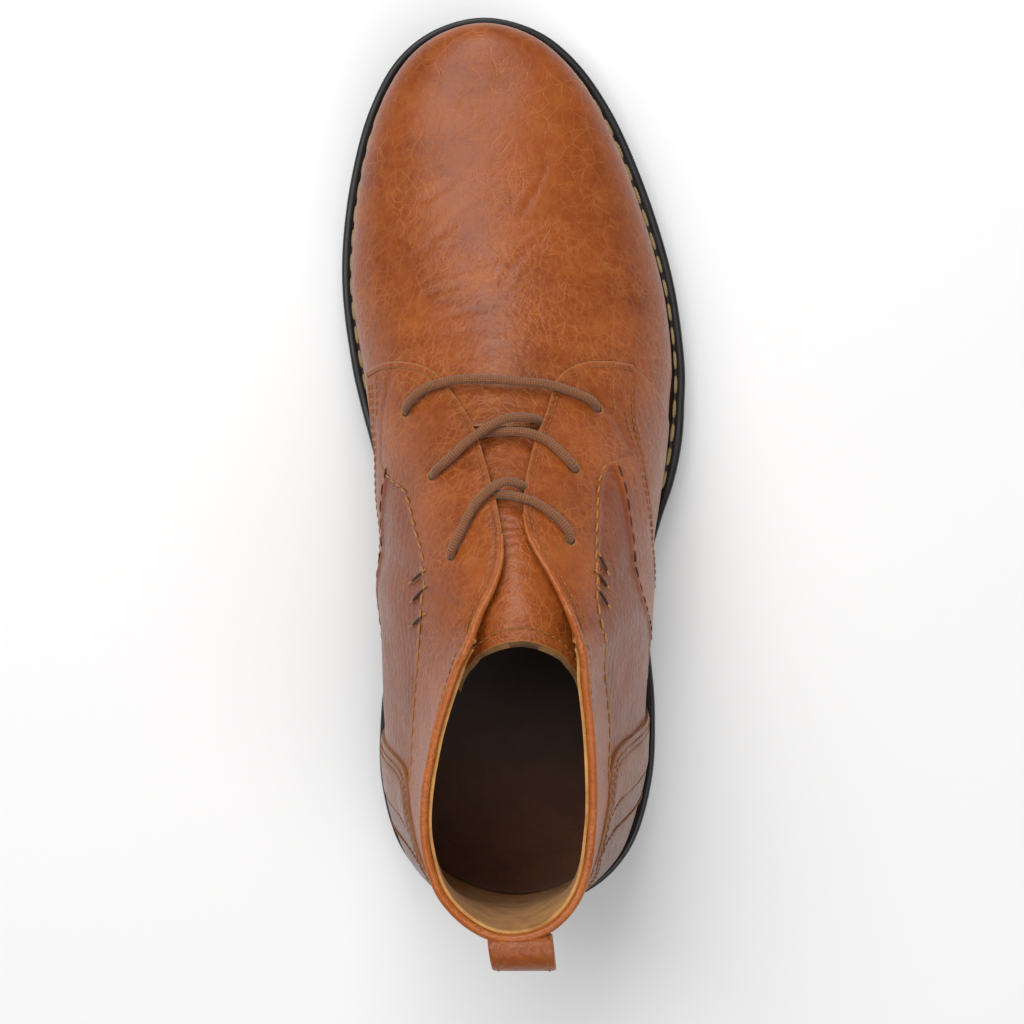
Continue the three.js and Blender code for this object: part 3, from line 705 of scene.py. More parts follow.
def new_piece(name, vertices, faces, material, attributes=None, uv=None, sharp=38):
    """A mesh object at the origin, riding on the root body, with point attributes and UVs."""
    mesh = bpy.data.meshes.new(name)
    mesh.from_pydata(vertices.tolist(), [], [tuple(face) for face in faces.tolist()]
                     if isinstance(faces, np.ndarray) else faces)
    mesh.update()
    mesh.shade_smooth()
    mesh.set_sharp_from_angle(angle=math.radians(sharp))
    for key, values in (attributes or {}).items():
        layer = mesh.attributes.new(key, "FLOAT", "POINT")
        layer.data.foreach_set("value", np.asarray(values, np.float32))
    if uv is not None:
        corners = np.empty(len(mesh.loops), np.int32)
        mesh.loops.foreach_get("vertex_index", corners)
        mesh.uv_layers.new(name="UVMap").data.foreach_set("uv", uv[corners].astype(np.float32).ravel())
    mesh.materials.append(material)
    piece = bpy.data.objects.new(name, mesh)
    bpy.context.scene.collection.objects.link(piece)
    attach(piece, "root")
    return piece


def grid_faces(rows, columns, wrap=False):
    """Quads of a grid of points, row after row, whose columns may close on themselves."""
    i = np.arange(rows - 1)[:, None]
    j = np.arange(columns if wrap else columns - 1)[None]
    nj = (j + 1) % columns
    corners = [i * columns + j, i * columns + nj, (i + 1) * columns + nj, (i + 1) * columns + j]
    return np.stack(np.broadcast_arrays(*corners), -1).reshape(-1, 4)


def shell(name, span, counts, region, face, thickness, relief, material, shown=None):
    """A leather panel with a cut edge. Its outer side lies on the form at the offset
    face(points) + relief(points). A grid over (q, v) keeps the quads that reach into the
    region, whose signed distance is negative inside, and Newton's steps pull the corners that
    lie outside back on to the region's edge. Points that meet are welded, which keeps the
    panel whole across the ridge. The outer side rounds off by 0.35 mm over its last 0.9 mm, the
    inner side lies thickness deeper, and quads between the two close the edge. The attribute
    edge is the distance to the cut edge in millimetres, where the edge is shown, and lift is
    the relief in millimetres."""
    q, v = np.meshgrid(np.linspace(span[0], span[1], counts[0]),
                       np.linspace(0, 1, counts[1]), indexing="ij")
    distance = region(form(q, v))
    faces = grid_faces(*counts)
    faces = faces[(distance.ravel()[faces] < 0).any(1)]
    used = np.zeros(q.size, bool)
    used[faces.ravel()] = True
    used = used.reshape(q.shape)
    outside = used & (distance > 0)
    qo, vo = q[outside], v[outside]
    dq, dv = (span[1] - span[0]) / counts[0], 1 / counts[1]
    for _ in range(3):
        here = region(form(qo, vo))
        slope_q = (region(form(qo + dq / 4, vo)) - region(form(qo - dq / 4, vo))) / (dq / 2)
        slope_v = (region(form(qo, vo + dv / 4)) - region(form(qo, vo - dv / 4))) / (dv / 2)
        metric = (slope_q * dq) ** 2 + (slope_v * dv) ** 2 + 1e-14
        qo = qo - np.clip(here * slope_q * dq * dq / metric, -dq, dq)
        vo = np.clip(vo - np.clip(here * slope_v * dv * dv / metric, -dv, dv), 0, 1)
    q[outside], v[outside] = qo, vo
    number = np.cumsum(used.ravel()) - 1
    faces = number[faces]
    q, v = q[used], v[used]
    _, first, same = np.unique(np.round(form(q, v) / 3e-6), axis=0, return_index=True,
                               return_inverse=True)
    faces = same.ravel()[faces]
    q, v = q[first], v[first]
    faces = faces[(np.diff(np.sort(faces, 1), axis=1) > 0).all(1)]
    base = form(q, v)
    side = normal(q, v)
    depth = np.maximum(0, -region(base))
    raised = relief(base)
    round_edge = -0.35 * MM * np.maximum(0, 1 - depth / (0.9 * MM)) ** 2
    outer = base + side * (face(base) + raised + round_edge)[:, None]
    inner = base + side * (face(base) + np.minimum(raised, 0) - thickness)[:, None]
    count = len(base)
    edges = np.concatenate([faces[:, [k, (k + 1) % 4]] for k in range(4)])
    key = np.sort(edges, 1)
    _, first, times = np.unique(key[:, 0] * count + key[:, 1], return_index=True, return_counts=True)
    rim = edges[first[times == 1]]
    sides = np.stack([rim[:, 1], rim[:, 0], rim[:, 0] + count, rim[:, 1] + count], 1)
    everything = np.concatenate([faces, faces[:, ::-1] + count, sides])
    if shown is not None:
        depth = np.where(shown(base), depth, HIDDEN_EDGE)
    edge = np.concatenate([depth, np.zeros(count)]) / MM
    lift = np.concatenate([raised, np.zeros(count)]) / MM
    return new_piece(name, np.concatenate([outer, inner]), everything, material,
                     {"edge": edge, "lift": lift})


def sweep(path, sides, section, scale=None):
    """A closed solid along a path: section points (across, up) are laid out at each step along
    sideways = path direction x sides, and sides. scale shrinks the section, step by step, and
    the first and last ring close on their middle points. Returns vertices, faces and UVs."""
    along = unit(np.gradient(path, axis=0))
    across = unit(np.cross(along, sides))
    up = np.cross(across, along)
    scale = np.ones(len(path)) if scale is None else scale
    rings = (path[:, None] + scale[:, None, None]
             * (section[None, :, :1] * across[:, None] + section[None, :, 1:] * up[:, None]))
    count = len(section)
    vertices = np.concatenate([rings.reshape(-1, 3), path[:1], path[-1:]])
    body = grid_faces(len(path), count, wrap=True)
    k = np.arange(count)
    last = (len(path) - 1) * count
    start = np.stack([np.full(count, len(vertices) - 2), (k + 1) % count, k], 1)
    end = np.stack([np.full(count, len(vertices) - 1), last + k, last + (k + 1) % count], 1)
    faces = [tuple(face) for face in body.tolist() + start.tolist() + end.tolist()]
    length = np.concatenate([[0], np.cumsum(np.linalg.norm(np.diff(path, axis=0), axis=1))])
    u = np.repeat(length, count)
    w = np.tile(k / count, len(path))
    uv = np.concatenate([np.stack([u, w], 1), [[0, 0], [length[-1], 0]]])
    return vertices, faces, uv


def circle(radius, count):
    """Points of a circle, against the clock."""
    angle = np.arange(count) * 2 * math.pi / count
    return radius * np.stack([np.cos(angle), np.sin(angle)], 1)


def spaced(path, step):
    """Even places along a path, about step apart, each as a number of its points."""
    length = np.concatenate([[0], np.cumsum(np.linalg.norm(np.diff(path, axis=0), axis=1))])
    count = max(2, int(round(length[-1] / step)) + 1)
    return np.interp(np.linspace(0, length[-1], count), length, np.arange(len(path)))


def level_path(span, counts, field, level, order, keep=None):
    """Rib and height (q, v) along the line where a field has a value: the crossings of all
    grid edges, sorted by order, which grows along the line."""
    q, v = np.meshgrid(np.linspace(span[0], span[1], counts[0]),
                       np.linspace(0.004, 0.997, counts[1]), indexing="ij")
    points = form(q, v)
    f = field(points) - level
    found = []
    for a, b in ((np.s_[:-1, :], np.s_[1:, :]), (np.s_[:, :-1], np.s_[:, 1:])):
        cross = (f[a] < 0) != (f[b] < 0)
        t = f[a][cross] / (f[a][cross] - f[b][cross])
        found.append(np.stack([q[a][cross] * (1 - t) + q[b][cross] * t,
                               v[a][cross] * (1 - t) + v[b][cross] * t], 1))
    found = np.concatenate(found)
    if keep is not None:
        found = found[keep(form(found[:, 0], found[:, 1]), found)]
    return found[np.argsort(order(form(found[:, 0], found[:, 1]), found))]


def turn_outwards(piece):
    """Makes all faces of a closed piece face outwards."""
    work = bmesh.new()
    work.from_mesh(piece.data)
    bmesh.ops.recalc_face_normals(work, faces=work.faces)
    work.to_mesh(piece.data)
    work.free()


# Rings of a stitch, each with its place along it and its radius, as shares of length and radius
STITCH_RINGS = np.array([[-0.5, 0.35], [-0.42, 0.8], [-0.2, 1.0],
                         [0.2, 1.0], [0.42, 0.8], [0.5, 0.35]])


def stitch_row(places, offset, pitch, length, radius, slant=0.0):
    """Stitches along a path of (q, v) places, at an offset from the form. A path of more than
    12 points is evened out by the mean of seven neighbours."""
    path = on_form(places[:, 0], places[:, 1], np.full(len(places), offset))
    sides = normal(places[:, 0], places[:, 1])
    if len(path) > 12:
        pad = np.pad(path, ((3, 3), (0, 0)), mode="edge")
        path = np.stack([np.convolve(pad[:, k], np.ones(7) / 7, "valid") for k in range(3)], 1)
    return stitches_on(path, sides, pitch, length, radius, slant)


def stitches_on(path, sides, pitch, length, radius, slant=0.0):
    """Stitches along a path whose outward directions are known: each is a short round bar,
    bowed down into the leather at its two ends, and turned by slant."""
    at = spaced(path, pitch)
    k = np.arange(len(path))
    centres = np.stack([np.interp(at, k, path[:, c]) for c in range(3)], 1)
    side = unit(np.stack([np.interp(at, k, sides[:, c]) for c in range(3)], 1))
    along = unit(np.gradient(centres, axis=0))
    across = unit(np.cross(along, side))
    side = np.cross(across, along)
    along = unit(along + slant * across)
    across = unit(np.cross(along, side))
    return bars(centres, along, across, side, length, radius, 0.25)


def bars(centres, along, across, side, length, radius, sink):
    """Short round bars at centres, with their own three directions. Their ends lie lower than
    their middle by twice the sink times the radius."""
    ring = circle(1, STITCH_SIDES)
    x = STITCH_RINGS[:, 0] * length
    r = STITCH_RINGS[:, 1] * radius
    bow = -sink * radius * (2 * STITCH_RINGS[:, 0]) ** 2 * 2
    local = np.stack([np.repeat(x, STITCH_SIDES), np.outer(r, ring[:, 0]).ravel(),
                      (np.outer(r, ring[:, 1]) + bow[:, None]).ravel()], 1)
    vertices = (centres[:, None] + local[None, :, :1] * along[:, None]
                + local[None, :, 1:2] * across[:, None] + local[None, :, 2:] * side[:, None])
    body = grid_faces(len(x), STITCH_SIDES, wrap=True)
    lid = np.arange(STITCH_SIDES)
    lids = np.stack([lid[::-1], lid + len(local) - STITCH_SIDES])
    base = np.arange(len(centres)) * len(local)
    quads = (body[None] + base[:, None, None]).reshape(-1, 4)
    caps = (lids[None] + base[:, None, None]).reshape(-1, STITCH_SIDES)
    return vertices.reshape(-1, 3), quads, caps


def stitch_piece(name, rows, material):
    """One mesh of many rows of stitches."""
    vertices, faces, start = [], [], 0
    for points, quads, caps in rows:
        vertices.append(points)
        faces += [tuple(face) for face in (quads + start).tolist() + (caps + start).tolist()]
        start += len(points)
    new_piece(name, np.concatenate(vertices), faces, material, sharp=60)


# Materials

def linear(colour):
    """sRGB hex value to linear red, green, blue and alpha."""
    parts = [int(colour[k:k + 2], 16) / 255 for k in (1, 3, 5)]
    return [p / 12.92 if p <= 0.04045 else ((p + 0.055) / 1.055) ** 2.4 for p in parts] + [1]


def add(tree, kind, settings, output=0):
    """Adds a node and gives back one of its outputs. The key of a setting is the name or number
    of a socket or the name of a property, and its value an output to link, a hex colour or a
    plain value. None leaves a socket as it is."""
    node = tree.nodes.new("ShaderNode" + kind)
    for key, value in settings.items():
        if isinstance(value, bpy.types.NodeSocket):
            tree.links.new(value, node.inputs[key])
        elif value is not None and (isinstance(key, int) or key in node.inputs):
            node.inputs[key].default_value = linear(value) if isinstance(value, str) else value
        elif value is not None:
            setattr(node, key, value)
    return node.outputs[output] if len(node.outputs) else None


def material(name, build, **constants):
    """A material of one shader, with constants on its own sockets and the outputs that build
    gives for the others."""
    made = bpy.data.materials.new(name)
    made.use_nodes = True
    tree = made.node_tree
    tree.nodes.clear()
    settings = {key.replace("_", " "): value for key, value in constants.items()}
    shader = add(tree, "BsdfPrincipled", {**settings, **build(tree)})
    add(tree, "OutputMaterial", {"Surface": shader})
    return made


def pull_up_leather(name, deep, body, light, cut, gloss=0.34):
    """Waxed pull-up cowhide: oiled tan leather that goes pale where it is stretched. Broad
    clouds of colour, a net of grain with cells of 2.6 mm and one of veins with cells of 5.6 mm,
    both sunk and paler, pebbles of 1.9 mm, pores of 0.9 mm, fine wrinkles and pale cut edges.
    The grain and the pebbles are weaker on the toe. Where the relief is sunk, in creases, seam
    troughs, stitch grooves and the lowered wedge, the colour darkens towards the deep tone as
    painted shade."""
    def build(tree):
        place = add(tree, "TexCoord", {}, "Object")
        clouds, fine, patches, wrinkles = [
            add(tree, "TexNoise", {"Scale": 1 / (size * MM), "Detail": detail, "Roughness": rough,
                                   "Distortion": bent, "Vector": place})
            for size, detail, rough, bent in ((30, 5, 0.6, 0.4), (4, 6, 0.65, 0.0),
                                              (14, 3, 0.55, 0.0), (1.8, 7, 0.6, 1.2))]
        warp = add(tree, "TexNoise", {"Scale": 1 / (7 * MM), "Detail": 3, "Vector": place}, "Color")
        shifted = add(tree, "VectorMath", {"operation": "MULTIPLY_ADD", 0: warp,
                                           1: (3.4 * MM,) * 3, 2: place})
        grain, veins, pores, pebbles = [
            add(tree, "TexVoronoi", {"feature": feature, "Scale": 1 / (size * MM), "Vector": shifted},
                "Distance")
            for feature, size in (("DISTANCE_TO_EDGE", 2.6), ("DISTANCE_TO_EDGE", 5.6),
                                  ("F1", 0.9), ("SMOOTH_F1", 1.9))]
        along = add(tree, "SeparateXYZ", {0: place}, "Y")
        toe = add(tree, "MapRange", {0: along, 1: 0.045, 2: 0.1, 3: 1.0, 4: 0.35})
        some = add(tree, "MapRange", {0: patches, 1: 0.36, 2: 0.60, 3: 0.15, 4: 1.0})
        furrow = add(tree, "MapRange", {0: grain, 1: 0.0, 2: 0.12, 3: 1.0, 4: 0.0})
        furrow = add(tree, "Math", {"operation": "MULTIPLY", 0: furrow, 1: some})
        furrow = add(tree, "Math", {"operation": "MULTIPLY", 0: furrow, 1: toe})
        vein = add(tree, "MapRange", {0: veins, 1: 0.0, 2: 0.05, 3: 1.0, 4: 0.0})
        vein = add(tree, "Math", {"operation": "MULTIPLY", 0: vein, 1: some})
        pebbles = add(tree, "Math", {"operation": "MULTIPLY", 0: pebbles, 1: toe})
        lift = add(tree, "Attribute", {"attribute_name": "lift"}, "Fac")
        edge = add(tree, "Attribute", {"attribute_name": "edge"}, "Fac")
        # Colour: each row lays one more tone over the last by the share that its node gives
        colour = deep
        for kind, share, tone in (
                ("MapRange", {0: clouds, 1: 0.22, 2: 0.62}, body),
                ("MapRange", {0: fine, 1: 0.40, 2: 0.75, 4: 0.35}, light),
                ("Math", {"operation": "MULTIPLY", 0: furrow, 1: 0.42}, light),
                ("Math", {"operation": "MULTIPLY", 0: vein, 1: 0.50}, light),
                ("MapRange", {0: lift, 1: 0.04, 2: 0.25, 4: 0.35}, light),
                # Sunk relief darkens towards the deep tone: painted shade in creases, seam troughs,
                # stitch grooves and the lowered wedge
                ("MapRange", {0: lift, 1: -0.05, 2: -0.4, 4: 0.5}, deep),
                ("MapRange", {0: edge, 1: 0.1, 2: 0.55, 3: 1.0, 4: 0.0}, cut)):
            colour = add(tree, "Mix", {"data_type": "RGBA", 0: add(tree, kind, share),
                                       6: colour, 7: tone}, 2)
        # Relief: height, strength and depth, which is negative where the height is sunk
        bump = None
        for height, strength, depth in (
                (pores, 0.22, 0.10 * MM), (wrinkles, 0.40, 0.20 * MM), (pebbles, 0.45, 0.5 * MM),
                (furrow, 0.45, -0.22 * MM), (vein, 0.35, -0.25 * MM)):
            bump = add(tree, "Bump", {"Strength": strength, "Distance": abs(depth),
                                      "invert": depth < 0, "Height": height, "Normal": bump})
        rough = add(tree, "MapRange", {0: fine, 1: 0.3, 2: 0.75, 3: gloss - 0.05, 4: gloss + 0.14})
        return {"Base Color": colour, "Roughness": rough, "Normal": bump}
    return material(name, build, IOR=1.5, Specular_IOR_Level=0.30, Coat_Weight=0.12,
                    Coat_Roughness=0.25)


def suede(name, dark, light):
    """Brushed split leather: dull and soft, with a short nap that clouds its colour. The fibres
    are drawn 0.7 mm wide, coarser than they are, to show."""
    def build(tree):
        place = add(tree, "TexCoord", {}, "Object")
        cloud = add(tree, "TexNoise", {"Scale": 1 / (9 * MM), "Detail": 6, "Roughness": 0.7,
                                       "Vector": place})
        share = add(tree, "MapRange", {0: cloud, 1: 0.35, 2: 0.65})
        colour = add(tree, "Mix", {"data_type": "RGBA", 0: share, 6: dark, 7: light}, 2)
        fibres = add(tree, "TexNoise", {"Scale": 1 / (0.7 * MM), "Detail": 6, "Roughness": 0.8,
                                        "Vector": place})
        bump = add(tree, "Bump", {"Strength": 0.6, "Distance": 0.2 * MM, "Height": fibres})
        return {"Base Color": colour, "Normal": bump}
    return material(name, build, Roughness=0.8, Sheen_Weight=0.08, IOR=1.4)


def insole_with_painted_heel_light(name, dark, light):
    """Vegetable tanned insole leather: dull and dark, and lighter at the heel, a painted pool of
    light where light falls in through the opening, with a grain of 1.2 mm."""
    def build(tree):
        place = add(tree, "TexCoord", {}, "Object")
        cloud = add(tree, "TexNoise", {"Scale": 1 / (9 * MM), "Detail": 6, "Roughness": 0.7,
                                       "Vector": place})
        along = add(tree, "SeparateXYZ", {0: place}, "Y")
        # The heel is painted lighter: a pool of painted light where light falls in through the opening
        heel = add(tree, "MapRange", {0: along, 1: -0.122, 2: -0.07, 3: 1.0, 4: 0.0})
        share = add(tree, "MapRange", {0: cloud, 1: 0.25, 2: 0.6, 3: 0.5, 4: 1.0})
        share = add(tree, "Math", {"operation": "MULTIPLY", 0: share, 1: heel})
        colour = add(tree, "Mix", {"data_type": "RGBA", 0: share, 6: dark, 7: light}, 2)
        grain = add(tree, "TexNoise", {"Scale": 1 / (1.2 * MM), "Detail": 6, "Roughness": 0.7,
                                       "Vector": place})
        bump = add(tree, "Bump", {"Strength": 0.5, "Distance": 0.2 * MM, "Height": grain})
        return {"Base Color": colour, "Normal": bump}
    return material(name, build, Roughness=0.6, IOR=1.4)


def moulded_rubber(name, dark, light, rough):
    """Black moulded rubber: nearly even, with a satin skin, light scuffs and a grit of 0.6 mm
    from the mould."""
    def build(tree):
        place = add(tree, "TexCoord", {}, "Object")
        cloud = add(tree, "TexNoise", {"Scale": 1 / (7 * MM), "Detail": 6, "Roughness": 0.7,
                                       "Vector": place})
        share = add(tree, "MapRange", {0: cloud, 1: 0.45, 2: 0.8})
        colour = add(tree, "Mix", {"data_type": "RGBA", 0: share, 6: dark, 7: light}, 2)
        grit = add(tree, "TexNoise", {"Scale": 1 / (0.6 * MM), "Detail": 4, "Roughness": 0.7,
                                      "Vector": place})
        bump = add(tree, "Bump", {"Strength": 0.22, "Distance": 0.12 * MM, "Height": grit})
        skin = add(tree, "MapRange", {0: cloud, 1: 0.35, 2: 0.75, 3: rough - 0.08, 4: rough + 0.12})
        return {"Base Color": colour, "Roughness": skin, "Normal": bump}
    return material(name, build, IOR=1.52)


def twisted_thread(name, shade, light, twist):
    """Waxed linen thread: strands twisted together, drawn as fine slanting ribs, which the wave
    texture lays 0.36 of the twist apart. The ribs' colour runs from the shade tone in the grooves
    to the light tone on the crests, painted light and shade."""
    def build(tree):
        place = add(tree, "TexCoord", {}, "Object")
        ribs = add(tree, "TexWave", {"bands_direction": "DIAGONAL", "Scale": 1 / twist,
                                     "Distortion": 2.0, "Vector": place}, "Fac")
        # Painted shade in the grooves between the strands, painted light on their crests
        colour = add(tree, "Mix", {"data_type": "RGBA", 0: ribs, 6: shade, 7: light}, 2)
        bump = add(tree, "Bump", {"Strength": 0.5, "Distance": 0.1 * MM, "Height": ribs})
        return {"Base Color": colour, "Normal": bump}
    return material(name, build, Roughness=0.65, IOR=1.45)


def braided_cord(name, shade, light):
    """Round braided cotton lace, lightly waxed: two sets of strands that cross in diamonds,
    1.6 mm long, eight round the cord, drawn from its own UVs in metres and turns as the product
    of two sine waves, under a fuzz of 1.5 mm. The colour follows the weave's height, painted
    light and shade: lighter on the strands' crests, darker in the hollows between them. The fuzz
    darkens patches towards the shade tone."""
    def build(tree):
        place = add(tree, "TexCoord", {}, "Object")
        along = add(tree, "SeparateXYZ", {0: place.node.outputs["UV"]}, "X")
        waves = []
        for turns in (8, -8):
            angle = add(tree, "Math", {"operation": "MULTIPLY", 0: along.node.outputs["Y"],
                                       1: turns * 2 * math.pi})
            phase = add(tree, "Math", {"operation": "MULTIPLY_ADD", 0: along,
                                       1: 2 * math.pi / (1.6 * MM), 2: angle})
            waves.append(add(tree, "Math", {"operation": "SINE", 0: phase}))
        weave = add(tree, "Math", {"operation": "MULTIPLY", 0: waves[0], 1: waves[1]})
        height = add(tree, "MapRange", {0: weave, 1: -1, 2: 1})
        fuzz = add(tree, "TexNoise", {"Scale": 1 / (1.5 * MM), "Detail": 6, "Roughness": 0.75,
                                      "Vector": place})
        worn = add(tree, "MapRange", {0: fuzz, 1: 0.4, 2: 0.7, 4: 0.5})
        # Painted shade in the weave's hollows and painted light on its crests
        colour = add(tree, "Mix", {"data_type": "RGBA", 0: height, 6: shade, 7: light}, 2)
        colour = add(tree, "Mix", {"data_type": "RGBA", 0: worn, 6: colour, 7: shade}, 2)
        bump = add(tree, "Bump", {"Strength": 0.8, "Distance": 0.22 * MM, "Height": height})
        bump = add(tree, "Bump", {"Strength": 0.4, "Distance": 0.15 * MM, "Height": fuzz,
                                  "Normal": bump})
        return {"Base Color": colour, "Normal": bump}
    return material(name, build, Roughness=0.72, Sheen_Weight=0.25, IOR=1.45)


# Leathers: deep, body and light tones and the cut edge. The heel's is browner and darker, and
# the collar's rolled edge is rubbed bright.
LEATHER = pull_up_leather("waxed_pull_up_leather", "#70300f", "#984a1c", "#b5692c", "#a06c38")
COUNTER_LEATHER = pull_up_leather("waxed_pull_up_leather_heel",
                                  "#5c2c14", "#7c4020", "#9c5e30", "#8f5c30")
PIPING_LEATHER = pull_up_leather("burnished_leather_piping",
                                 "#8a4116", "#a8561e", "#bf7233", "#a8561e", 0.26)
LINING_SUEDE = suede("suede_lining", "#a8703a", "#cf9a58")
TONGUE_EDGE = suede("suede_cut_edge", "#5e3e20", "#8c6438")
# The insole's light tone is painted light at the heel, the rest keeps the dark tone
INSOLE_LEATHER = insole_with_painted_heel_light("insole_leather_painted_heel_light", "#1f100a", "#5a3218")
SOLE_RUBBER = moulded_rubber("moulded_black_rubber", "#0c0b0b", "#1c1b1a", 0.5)
WELT_RUBBER = moulded_rubber("smooth_black_rubber_welt", "#090909", "#151414", 0.42)
WELT_THREAD = twisted_thread("waxed_cream_thread", "#8d7648", "#c2ac78", 1.1 * MM)
TAN_THREAD = twisted_thread("waxed_tan_thread", "#7a4420", "#a8703c", 0.5 * MM)
PALE_THREAD = twisted_thread("waxed_pale_tan_thread", "#93602f", "#c08c50", 0.6 * MM)
DARK_THREAD = twisted_thread("waxed_brown_thread", "#24110a", "#4a2614", 0.6 * MM)
LACE_CORD = braided_cord("braided_brown_cord", "#5e3318", "#a3683c")


# Leather

def vamp_region(points):
    """The vamp laps 12 mm under the quarters, and its back edge lies on the tongue."""
    return np.maximum(-(cover_of_quarters(points) + 12 * MM), 10.5 * MM - points[..., 1])


def make_vamp():
    """Vamp, one piece of leather that the quarters lap over."""
    def relief(points):
        hidden = smooth(-1 * MM, -6 * MM, cover_of_quarters(points))
        return vamp_relief(points) * (1 - hidden)
    def face(points):
        return -0.4 * MM * smooth(30 * MM, 20 * MM, points[..., 1])
    vamp = shell("vamp", (-LAST_RIB, LAST_RIB), (781, 98), vamp_region, face,
                 WALL - 0.1 * MM, relief, LEATHER)
    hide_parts("upper")


def tongue_point(s, y, offset):
    """Tongue surface at a place y along the boot and a share s of its half width: on the form
    at an offset up to the ankle, and behind it carried on with a slight rise."""
    along = (y + CENTRE_Y) / LENGTH
    middle = np.interp(along, TONGUE["along"], TONGUE["middle"])
    half = np.interp(along, TONGUE["along"], TONGUE["half"])
    x = (middle + s * half) * WIDTH - CENTRE_X
    bend = TONGUE_BEND * LENGTH - CENTRE_Y
    q, v = above(x.ravel(), np.maximum(y, bend).ravel())
    points = on_form(q, v, np.broadcast_to(offset, x.shape).ravel()).reshape(x.shape + (3,))
    behind = np.maximum(0, bend - y)
    points[..., 1] -= behind
    points[..., 2] += 0.15 * behind
    return points


def tongue_edge(s):
    """Place along the boot of the tongue's round top edge: a quarter of an ellipse each side."""
    return TONGUE_TOP * LENGTH - CENTRE_Y - 17 * MM * (1 - np.sqrt(1 - 0.985 * s ** 2))


def make_tongue():
    """Tongue with a round top edge of raw suede, fine folds across it and a row of stitches."""
    steps, across = 150, 64
    s = np.linspace(-1, 1, across)[None]
    top = tongue_edge(s)
    front = TONGUE_FRONT * LENGTH - CENTRE_Y
    t = np.linspace(0, 1, steps)[:, None]
    y = front + (top - front) * t
    s = np.broadcast_to(s, y.shape)
    flat = np.stack([s * 22 * MM, y, 0 * y], -1)
    folds = np.sin(2 * math.pi * (y + 1.6 * MM * ripple(flat, 51, 16 * MM)) / (3.1 * MM))
    patches = 0.5 + 0.5 * np.clip(ripple(flat, 53, 10 * MM), -1, 1)
    lift = (folds * patches * 0.09 + ripple(flat, 55, 14 * MM) * 0.06) * MM
    thin = 0.5 * MM * smooth(4 * MM, 0, (1 - t) * (front - top))
    outer = tongue_point(s, y, -1.9 * MM + lift - thin)
    inner = tongue_point(s, y - 1.2 * MM * t, -3.7 * MM)
    vertices = np.concatenate([outer.reshape(-1, 3), inner.reshape(-1, 3)])
    count = steps * across
    body = grid_faces(steps, across)
    k, j = np.arange(steps - 1), np.arange(across - 1)
    rims = [(k * across, (k + 1) * across), ((k + 1) * across + across - 1, k * across + across - 1),
            (j + 1, j), ((steps - 1) * across + j, (steps - 1) * across + j + 1)]
    sides = [np.stack([a, b, b + count, a + count], 1) for a, b in rims]
    faces = np.concatenate([body[:, ::-1], body + count, *sides])
    depth = np.concatenate([((1 - t) * (front - top) / MM).ravel() + 0.1, np.zeros(count)])
    tongue = new_piece("tongue_leather", vertices, faces, LEATHER,
                       {"edge": depth, "lift": np.concatenate([lift.ravel() / MM, np.zeros(count)])})
    tongue.data.materials.append(TONGUE_EDGE)
    marks = np.zeros(len(faces), np.int32)
    marks[len(body):] = 1
    tongue.data.polygons.foreach_set("material_index", marks)
    turn_outwards(tongue)
    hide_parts("tongue")
    share = np.linspace(-0.93, 0.93, 120)
    row = tongue_edge(share) + 3.6 * MM
    path = tongue_point(share, row, -1.75 * MM)
    side = unit(path - tongue_point(share, row, -3.5 * MM))
    stitch_piece("tongue_stitches", [stitches_on(path, side, *TONGUE_STITCH)], TAN_THREAD)


def make_lining():
    """Lining of the quarters, from the collar to the sole, set back behind their front edge."""
    def region(points):
        front = np.minimum(cover_of_quarters(points) + 2 * MM,
                           points[..., 1] + CENTRE_Y - 0.22 * LENGTH)
        return np.maximum(front, eyelet_holes(points))
    lining = shell("lining", (-13, 13), (420, 60), region,
                   lambda points: np.full(points.shape[:-1], -0.15 * MM), 0.9 * MM,
                   lambda points: ripple(points, 21, 12 * MM) * 0.1 * MM, LINING_SUEDE)
    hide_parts("upper")


def quarter_relief(points, side):
    """The wedge between the two seams lies 0.6 mm lower than the panels that lap over it. A
    soft trough with scallops runs over the upper seam, where its stitches pull, and fine
    creases lie across the sides below it."""
    y, z = points[..., 1], points[..., 2]
    upper = over_seam("upper", side, points)
    lower = -over_seam("lower", side, points)
    panel = np.maximum(upper, lower)
    wedge = -0.6 * MM * (1 - smooth(-0.45 * MM, 0.45 * MM, panel))
    scallop = 0.3 * MM * np.cos(2 * math.pi * y / (4.4 * MM)) ** 2
    pull = -0.25 * MM * np.exp(-((upper - 1.5 * MM - scallop) / (0.7 * MM)) ** 2)
    folds = np.sin(2 * math.pi * (z + 3 * MM * ripple(points, 31, 50 * MM)) / (3.1 * MM))
    low = 1 - smooth(-2 * MM, 2 * MM, upper)
    creases = folds * low * 0.07 * MM * (0.5 + 0.5 * np.clip(ripple(points, 34, 16 * MM), -1, 1))
    return wedge + pull + creases + ripple(points, 37, 17 * MM) * 0.14 * MM


